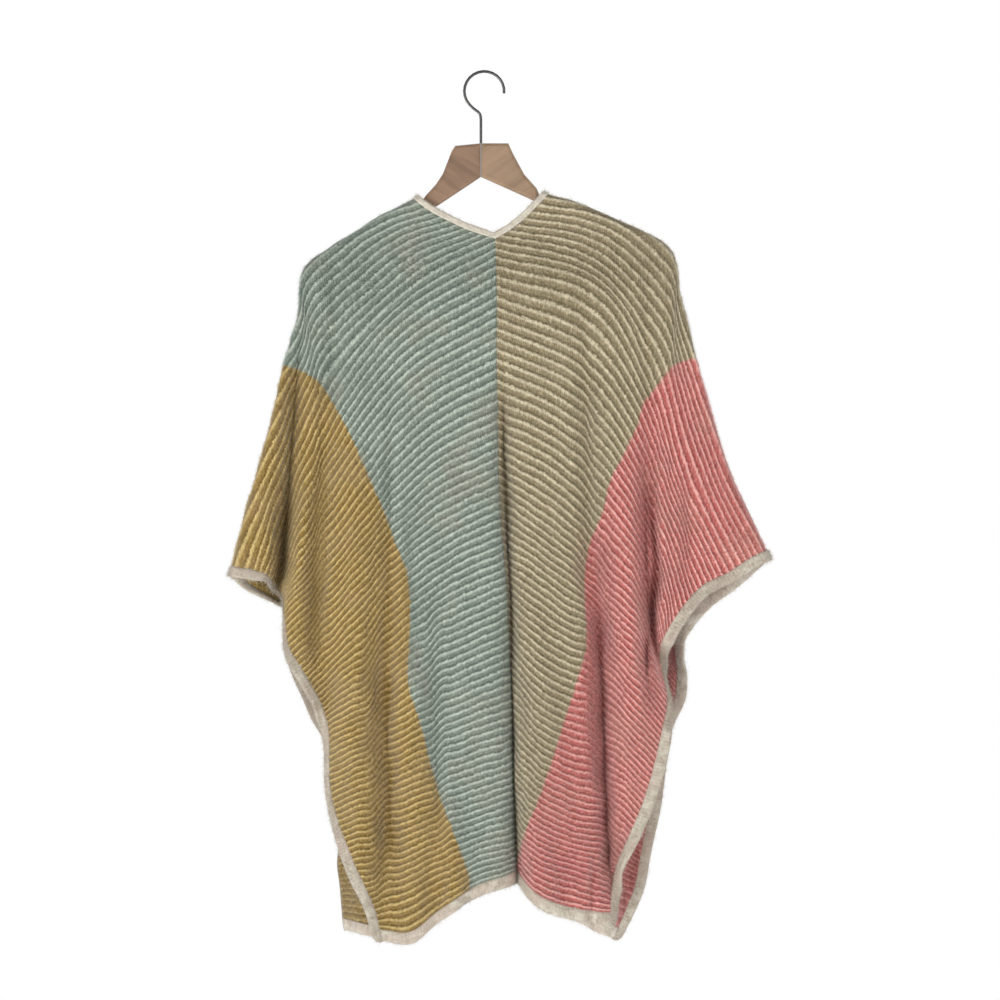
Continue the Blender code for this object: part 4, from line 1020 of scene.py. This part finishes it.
def knit_material(name, upper, lower, colours):
    """Brushed rib knit: pale ridges over a coloured ground, in two blocks of colour."""
    material, place = new_material(name, Roughness=0.95, Sheen_Weight=0.36, Sheen_Roughness=0.5,
                                   Specular_IOR_Level=0.12)
    uv = place.make("ShaderNodeUVMap", {}, uv_map="knit")
    stitches, ribs = uv.axis("X"), uv.axis("Y")
    speck, fuzz, tuft, broad = (place.noise(*n) for n in (SPECK, FUZZ, TUFT, BROAD))
    block, dulled, brushed = (place.attribute(n) for n in ("lower_block", "dulled", "brushed"))
    # A ridge is bright on its crest, fades slowly below it and has a furrow above it, darkened by
    # painted shade.
    number = ribs + weighed(WAVER, speck, tuft)
    beads = place.make("ShaderNodeCombineXYZ", {0: stitches * BEADS[0], 1: number * BEADS[1]})
    bead = beads.noise(1.0, 1.0)
    part = number.fraction()
    ridge = part.step(*CREST_EDGE) * (1 - part.step(*CREST_FADE) * CREST_FADED)
    furrow = 1 - ((number + FURROW_SHIFT).fraction() - 0.5).size().step(*FURROW_EDGE)
    wave = (stitches - (part - CHEVRON_POINT).size() * CHEVRON_SLANT).wave()
    cover = ridge * (1 - CHEVRON_SHADE + CHEVRON_SHADE * wave)
    # Brushed crests are paler, partly as painted light.
    cover = cover * (PLAIN_PALE + brushed * BRUSHED_AND_LIT_PALE) + speck + bead * BEAD_PALE
    cover = cover + fuzz.step(*FUZZ_STEP) * FUZZ_PALE + LEAST_PALE
    # Painted shade evens out the crests as well as darkening them.
    cover = cover * (1 - dulled * COVER_IN_SHADE[0]) + dulled * COVER_IN_SHADE[1]
    in_lower = (block + speck * BORDER_WAVER).step(-BORDER, BORDER)
    ground, pale, deep = (in_lower.mix(*pair) for pair in zip(colours[upper], colours[lower]))
    colour = cover.step(0.0, 1.0).mix(ground, pale)
    colour = (furrow * FURROW_SHADE * (1 - dulled * FURROW_LOSS_IN_SHADE)).mix(colour, deep)
    colour = (broad.step(*NAP_STEP) * NAP_SHARE).mix(colour, colours["nap"][0])
    # Brightness: random unevenness, painted light on brushed places, and painted shade.
    tone = weighed(TONE_SHARES, broad, tuft, speck, bead, fuzz, brushed, dulled) + TONE
    colour = colour.make("ShaderNodeVectorMath", {0: colour, "Scale": tone}, operation="SCALE")
    height = weighed(RIB_HEIGHTS, wave, speck, fuzz, tuft)
    attach(Base_Color=colour, Normal=height.bump(*RIB_RELIEF))
    return material


def band_material(colours):
    """Plain fuzzy knit of the bands."""
    material, place = new_material("band_knit", Roughness=0.95, Sheen_Weight=0.30,
                                   Sheen_Roughness=0.5, Specular_IOR_Level=0.12)
    speck, tuft, broad = (place.noise(*n) for n in (BAND_SPECK, BAND_TUFT, BAND_BROAD))
    wave = place.make("ShaderNodeUVMap", {}, uv_map="knit").axis("X").wave()
    cover = weighed(BAND_SHARES, speck, tuft, wave - 0.5) + BAND_PALE
    shaded, pale, _ = colours["cream"]
    colour = cover.step(*BAND_PALE_STEP).mix(shaded, pale)
    colour = (broad.step(*BAND_NAP_STEP) * BAND_NAP_SHARE).mix(colour, colours["nap"][1])
    # The bands' cream is paler towards the top.
    paler_top = place.axis("Z").step(*PALER_BAND_HEIGHTS) * (PALER_BAND_SHARE + cover * (1 - PALER_BAND_SHARE))
    colour = paler_top.mix(colour, brighter(pale, PALER_BAND_BRIGHT))
    # Painted shade on the side bands, in the nap's colour darkened.
    dulled = place.attribute("dulled") * (BAND_SHADE_STRENGTH[0] + tuft * BAND_SHADE_STRENGTH[1])
    colour = dulled.mix(colour, colours["nap"][2])
    height = weighed(BAND_HEIGHTS, wave, speck, tuft)
    attach(Base_Color=colour, Normal=height.bump(*BAND_RELIEF))
    return material


def fibre_material(name, colours):
    """Loose fibres, in one yarn's pale colour."""
    shade = tuple(FIBRE_PALE * pale + (1 - FIBRE_PALE) * ground
                  for ground, pale in zip(colours[0], colours[1]))
    return new_material(name + "_nap", Roughness=0.9, Base_Color=(*shade, 1.0), Sheen_Weight=0.3,
                        Specular_IOR_Level=0.1)[0]


def beech_material(name, slope, colour):
    """Waxed wood whose grain runs down the arm."""
    material, place = new_material(name, Roughness=0.5, Specular_IOR_Level=0.35)
    turned = place.mapping(Rotation=(0.0, slope, 0.0))
    grain = turned.mapping(Scale=GRAIN).noise(1.0, *GRAIN_DETAIL)
    pores = turned.mapping(Scale=PORES).noise(1.0)
    stops = [(at, brighter(colour, share)) for at, share in WOOD_TINTS]
    tint = grain.make("ShaderNodeValToRGB", {0: grain + 0.5}, stops=stops)
    attach(Base_Color=(pores.step(*PORE_STEP) * PORE_DARK).mix(tint, stops[0][1]),
           Normal=(grain + pores * PORE_DEPTH).bump(*WOOD_RELIEF))
    return material


def wire_material(colour):
    """Dark drawn steel wire."""
    material, place = new_material("drawn_wire", Metallic=0.85)
    marks = place.noise(*WIRE_MARKS) + 0.5
    least, more = WIRE_ROUGHNESS
    attach(Base_Color=marks.mix(*(brighter(colour, share) for share in WIRE_TINTS)),
           Roughness=least + marks * more)
    return material


# ---- Settings that a user would change ----
def srgb(screen):
    """A colour as seen on a screen, 0 to 255, as the linear values that a material takes."""
    return tuple((c / 255 / 12.92 if c <= 10 else ((c / 255 + 0.055) / 1.055) ** 2.4)
                 for c in screen)


def colour_setting(name, description, screen):
    return bpy.props.FloatVectorProperty(name=name, description=description, subtype="COLOR",
                                         size=3, min=0.0, max=1.0, default=srgb(screen))


def number_setting(name, description, default, low, high, **kind):
    return bpy.props.FloatProperty(name=name, description=description, default=default, min=low,
                                   max=high, **kind)


class PonchoKnitSettings(bpy.types.PropertyGroup):
    """The knit's sizes, and each yarn's ground and pale colour"""
    rib_rise: number_setting("Rib rise", "How far each ridge stands out of its furrows",
                             1.7 * MM, 0.0, 4 * MM, unit="LENGTH", precision=4)
    wall: number_setting("Wall", "Plain thickness of the knit",
                         2.4 * MM, 1 * MM, 4 * MM, unit="LENGTH", precision=4)
    __annotations__.update({
        yarn + ending: colour_setting(f"{tone} {yarn}", f"{tone} colour of the {place}", screen)
        for yarn, (place, *screens) in YARNS.items()
        for ending, tone, screen in zip(("", "_pale"), ("Ground", "Pale"), screens)})


class PonchoHangerSettings(bpy.types.PropertyGroup):
    wood_left: colour_setting("Left arm", "Wood of the left arm", (152, 123, 100))
    wood_right: colour_setting("Right arm", "Wood of the right arm", (164, 136, 110))
    wire: colour_setting("Wire", "Metal of the hook", (96, 95, 94))


class PonchoStudioSettings(bpy.types.PropertyGroup):
    camera_distance: number_setting("Camera distance", "From the garment's back to the camera",
                                    6.0, 2.0, 20.0, unit="LENGTH")
    key_power: number_setting("Key light", "Power of the large low light on the left",
                              80.0, 0.0, 2000.0, unit="POWER")
    fill_power: number_setting("Fill light", "Power of the large light on the right",
                               45.0, 0.0, 2000.0, unit="POWER")
    rear_power: number_setting("Rear lights", "Power of each large light on the far side",
                               60.0, 0.0, 2000.0, unit="POWER")
    air: number_setting("Dim walls", "Brightness of the studio away from its white horizon",
                        0.22, 0.0, 1.0, subtype="FACTOR")


def knit_colours(knit):
    """Ground and pale colours of each yarn, and its ground darkened as painted shade, linear."""
    return {yarn: (tuple(getattr(knit, yarn)), tuple(getattr(knit, yarn + "_pale")),
                   brighter(getattr(knit, yarn), PAINTED_SHADE_BRIGHTNESS)) for yarn in YARNS}


# ---- Operators ----
class PONCHO_OT_panels(bpy.types.Operator):
    """Knits the four quarter panels, which meet at the centre seam and the shoulder fold"""
    bl_idname = "poncho.panels"
    bl_label = "Panels"

    def execute(self, context):
        knit = context.scene.poncho_knit
        colours = knit_colours(knit)
        knits = {word: knit_material("_and_".join(yarns) + "_knit", *yarns, colours)
                 for word, yarns in BLOCKS.items()}
        naps = {yarn: fibre_material(yarn, colours[yarn])
                for yarn in ("sage", "khaki", "mustard", "coral")}
        for seed, panel in enumerate((BACK_LEFT, BACK_RIGHT, FRONT_LEFT, FRONT_RIGHT)):
            size, fibres = ((FRONT_MESH, FRONT_FIBRES) if panel.is_front
                            else (BACK_MESH, BACK_FIBRES))
            slot_name = "knit_" + "_".join(BLOCKS[panel.word])
            piece, quads = make_panel(panel, *size, knit.rib_rise, knit.wall,
                                      knits[panel.word], slot_name)
            brush(quads, panel, fibres, naps, PANEL_DRAWS * seed, slot_name)
            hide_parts(panel.name)
        return {"FINISHED"}


class PONCHO_OT_bands(bpy.types.Operator):
    """Knits the cream bands of the sides, cuffs, hems and neckline"""
    bl_idname = "poncho.bands"
    bl_label = "Bands"

    def execute(self, context):
        colours = knit_colours(context.scene.poncho_knit)
        cream = band_material(colours)
        nap = fibre_material("cream", colours["cream"])
        bands = [(node, *sweep_band(node + "_knit", cream, *path, closed=node == "neck_band"))
                 for node, path in (
                     ("side_band_left", side_band_path(BACK_LEFT, FRONT_LEFT)),
                     ("side_band_right", side_band_path(BACK_RIGHT, FRONT_RIGHT)),
                     ("hem_band_back", hem_band_path(BACK_LEFT, BACK_RIGHT)),
                     ("hem_band_front", hem_band_path(FRONT_LEFT, FRONT_RIGHT)),
                     ("neck_band", neck_band_path()))]
        for seed, (node, piece, quads) in enumerate(bands):
            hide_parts(node)
            area = np.linalg.norm(twice_area(quads), axis=1).sum() / 2
            scatter_fibres(node + "_nap", quads, int(area / MM**2 * BAND_FIBRES),
                           BAND_DRAWS + seed, nap, "knit_band")
        return {"FINISHED"}


class PONCHO_OT_hanger(bpy.types.Operator):
    """Gives the hanger's arms their wood and its hook its metal"""
    bl_idname = "poncho.hanger"
    bl_label = "Hanger's finish"

    def execute(self, context):
        hanger = context.scene.poncho_hanger
        left, right = -GRAIN_SLOPE, GRAIN_SLOPE
        for node, material in (
                ("hanger_arm_left", beech_material("beech_left", left, hanger.wood_left)),
                ("hanger_arm_right", beech_material("beech_right", right, hanger.wood_right)),
                ("hanger_hook", wire_material(hanger.wire))):
            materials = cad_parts[node].data.materials
            materials.clear()
            materials.append(material)
        return {"FINISHED"}


class PONCHO_OT_studio(bpy.types.Operator):
    """Sets the camera straight in front of the back, a pale floor and soft lights"""
    bl_idname = "poncho.studio"
    bl_label = "Studio"

    def execute(self, context):
        scene = context.scene
        studio = scene.poncho_studio
        scene.view_settings.view_transform = "Standard"
        distance = studio.camera_distance
        bpy.ops.object.camera_add(
            location=(VIEW_X, BACK_PLANE_Y - distance, VIEW_Z), rotation=(math.pi / 2, 0.0, 0.0))
        camera = context.object
        camera.name = "camera"
        camera.data.sensor_width = SENSOR
        camera.data.lens = SENSOR * distance / FRAME_WIDTH
        camera.data.clip_end = CAMERA_REACH
        scene.camera = camera
        bpy.ops.mesh.primitive_plane_add(size=FLOOR_SIZE, location=(0.0, 0.0, FLOOR_Z))
        floor = context.object
        floor.name = "floor"
        floor.data.materials.append(
            new_material("pale_floor", Roughness=0.9, Base_Color=(*WHITE, 1.0))[0])
        scene.world = bpy.data.worlds.new("studio_walls")
        scene.world.use_nodes = True
        tree = scene.world.node_tree
        height = Shade(tree).make("ShaderNodeTexCoord", {}, "Generated").axis("Z")
        walls = height.size().step(*HORIZON).mix(WHITE, (studio.air,) * 3)
        tree.links.new(walls.socket, tree.nodes["Background"].inputs["Color"])
        for name, place, power in LIGHTS:
            bpy.ops.object.light_add(type="AREA", location=place)
            light = context.object
            light.name = name
            light.data.size = LIGHT_SIZE
            light.data.energy = getattr(studio, power)
            aim = light.location - type(light.location)((VIEW_X, 0.0, VIEW_Z))
            light.rotation_euler = aim.to_track_quat("Z", "Y").to_euler()
        return {"FINISHED"}


class PONCHO_PT_sidebar(bpy.types.Panel):
    """Lists the garment's steps and its settings"""
    bl_idname = "PONCHO_PT_sidebar"
    bl_label = "Poncho sweater"
    bl_space_type = "VIEW_3D"
    bl_region_type = "UI"
    bl_category = "Poncho"

    def draw(self, context):
        for group_name in GROUPS:
            settings = getattr(context.scene, group_name)
            box = self.layout.box()
            for name in settings.__annotations__:
                box.prop(settings, name)
        for operator in OPERATORS:
            self.layout.operator(operator.bl_idname)


GROUPS = {"poncho_knit": PonchoKnitSettings, "poncho_hanger": PonchoHangerSettings,
          "poncho_studio": PonchoStudioSettings}
OPERATORS = (PONCHO_OT_panels, PONCHO_OT_bands, PONCHO_OT_hanger, PONCHO_OT_studio)
CLASSES = (*GROUPS.values(), *OPERATORS, PONCHO_PT_sidebar)


def register():
    for item in CLASSES:
        bpy.utils.register_class(item)
    for name, group in GROUPS.items():
        setattr(bpy.types.Scene, name, bpy.props.PointerProperty(type=group))


def unregister():
    for name in GROUPS:
        delattr(bpy.types.Scene, name)
    for item in reversed(CLASSES):
        bpy.utils.unregister_class(item)


def main():
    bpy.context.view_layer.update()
    register()
    bpy.ops.object.select_all(action="DESELECT")
    bpy.ops.poncho.panels()
    bpy.ops.poncho.bands()
    bpy.ops.poncho.hanger()
    bpy.ops.poncho.studio()


if __name__ == "__main__":
    main()
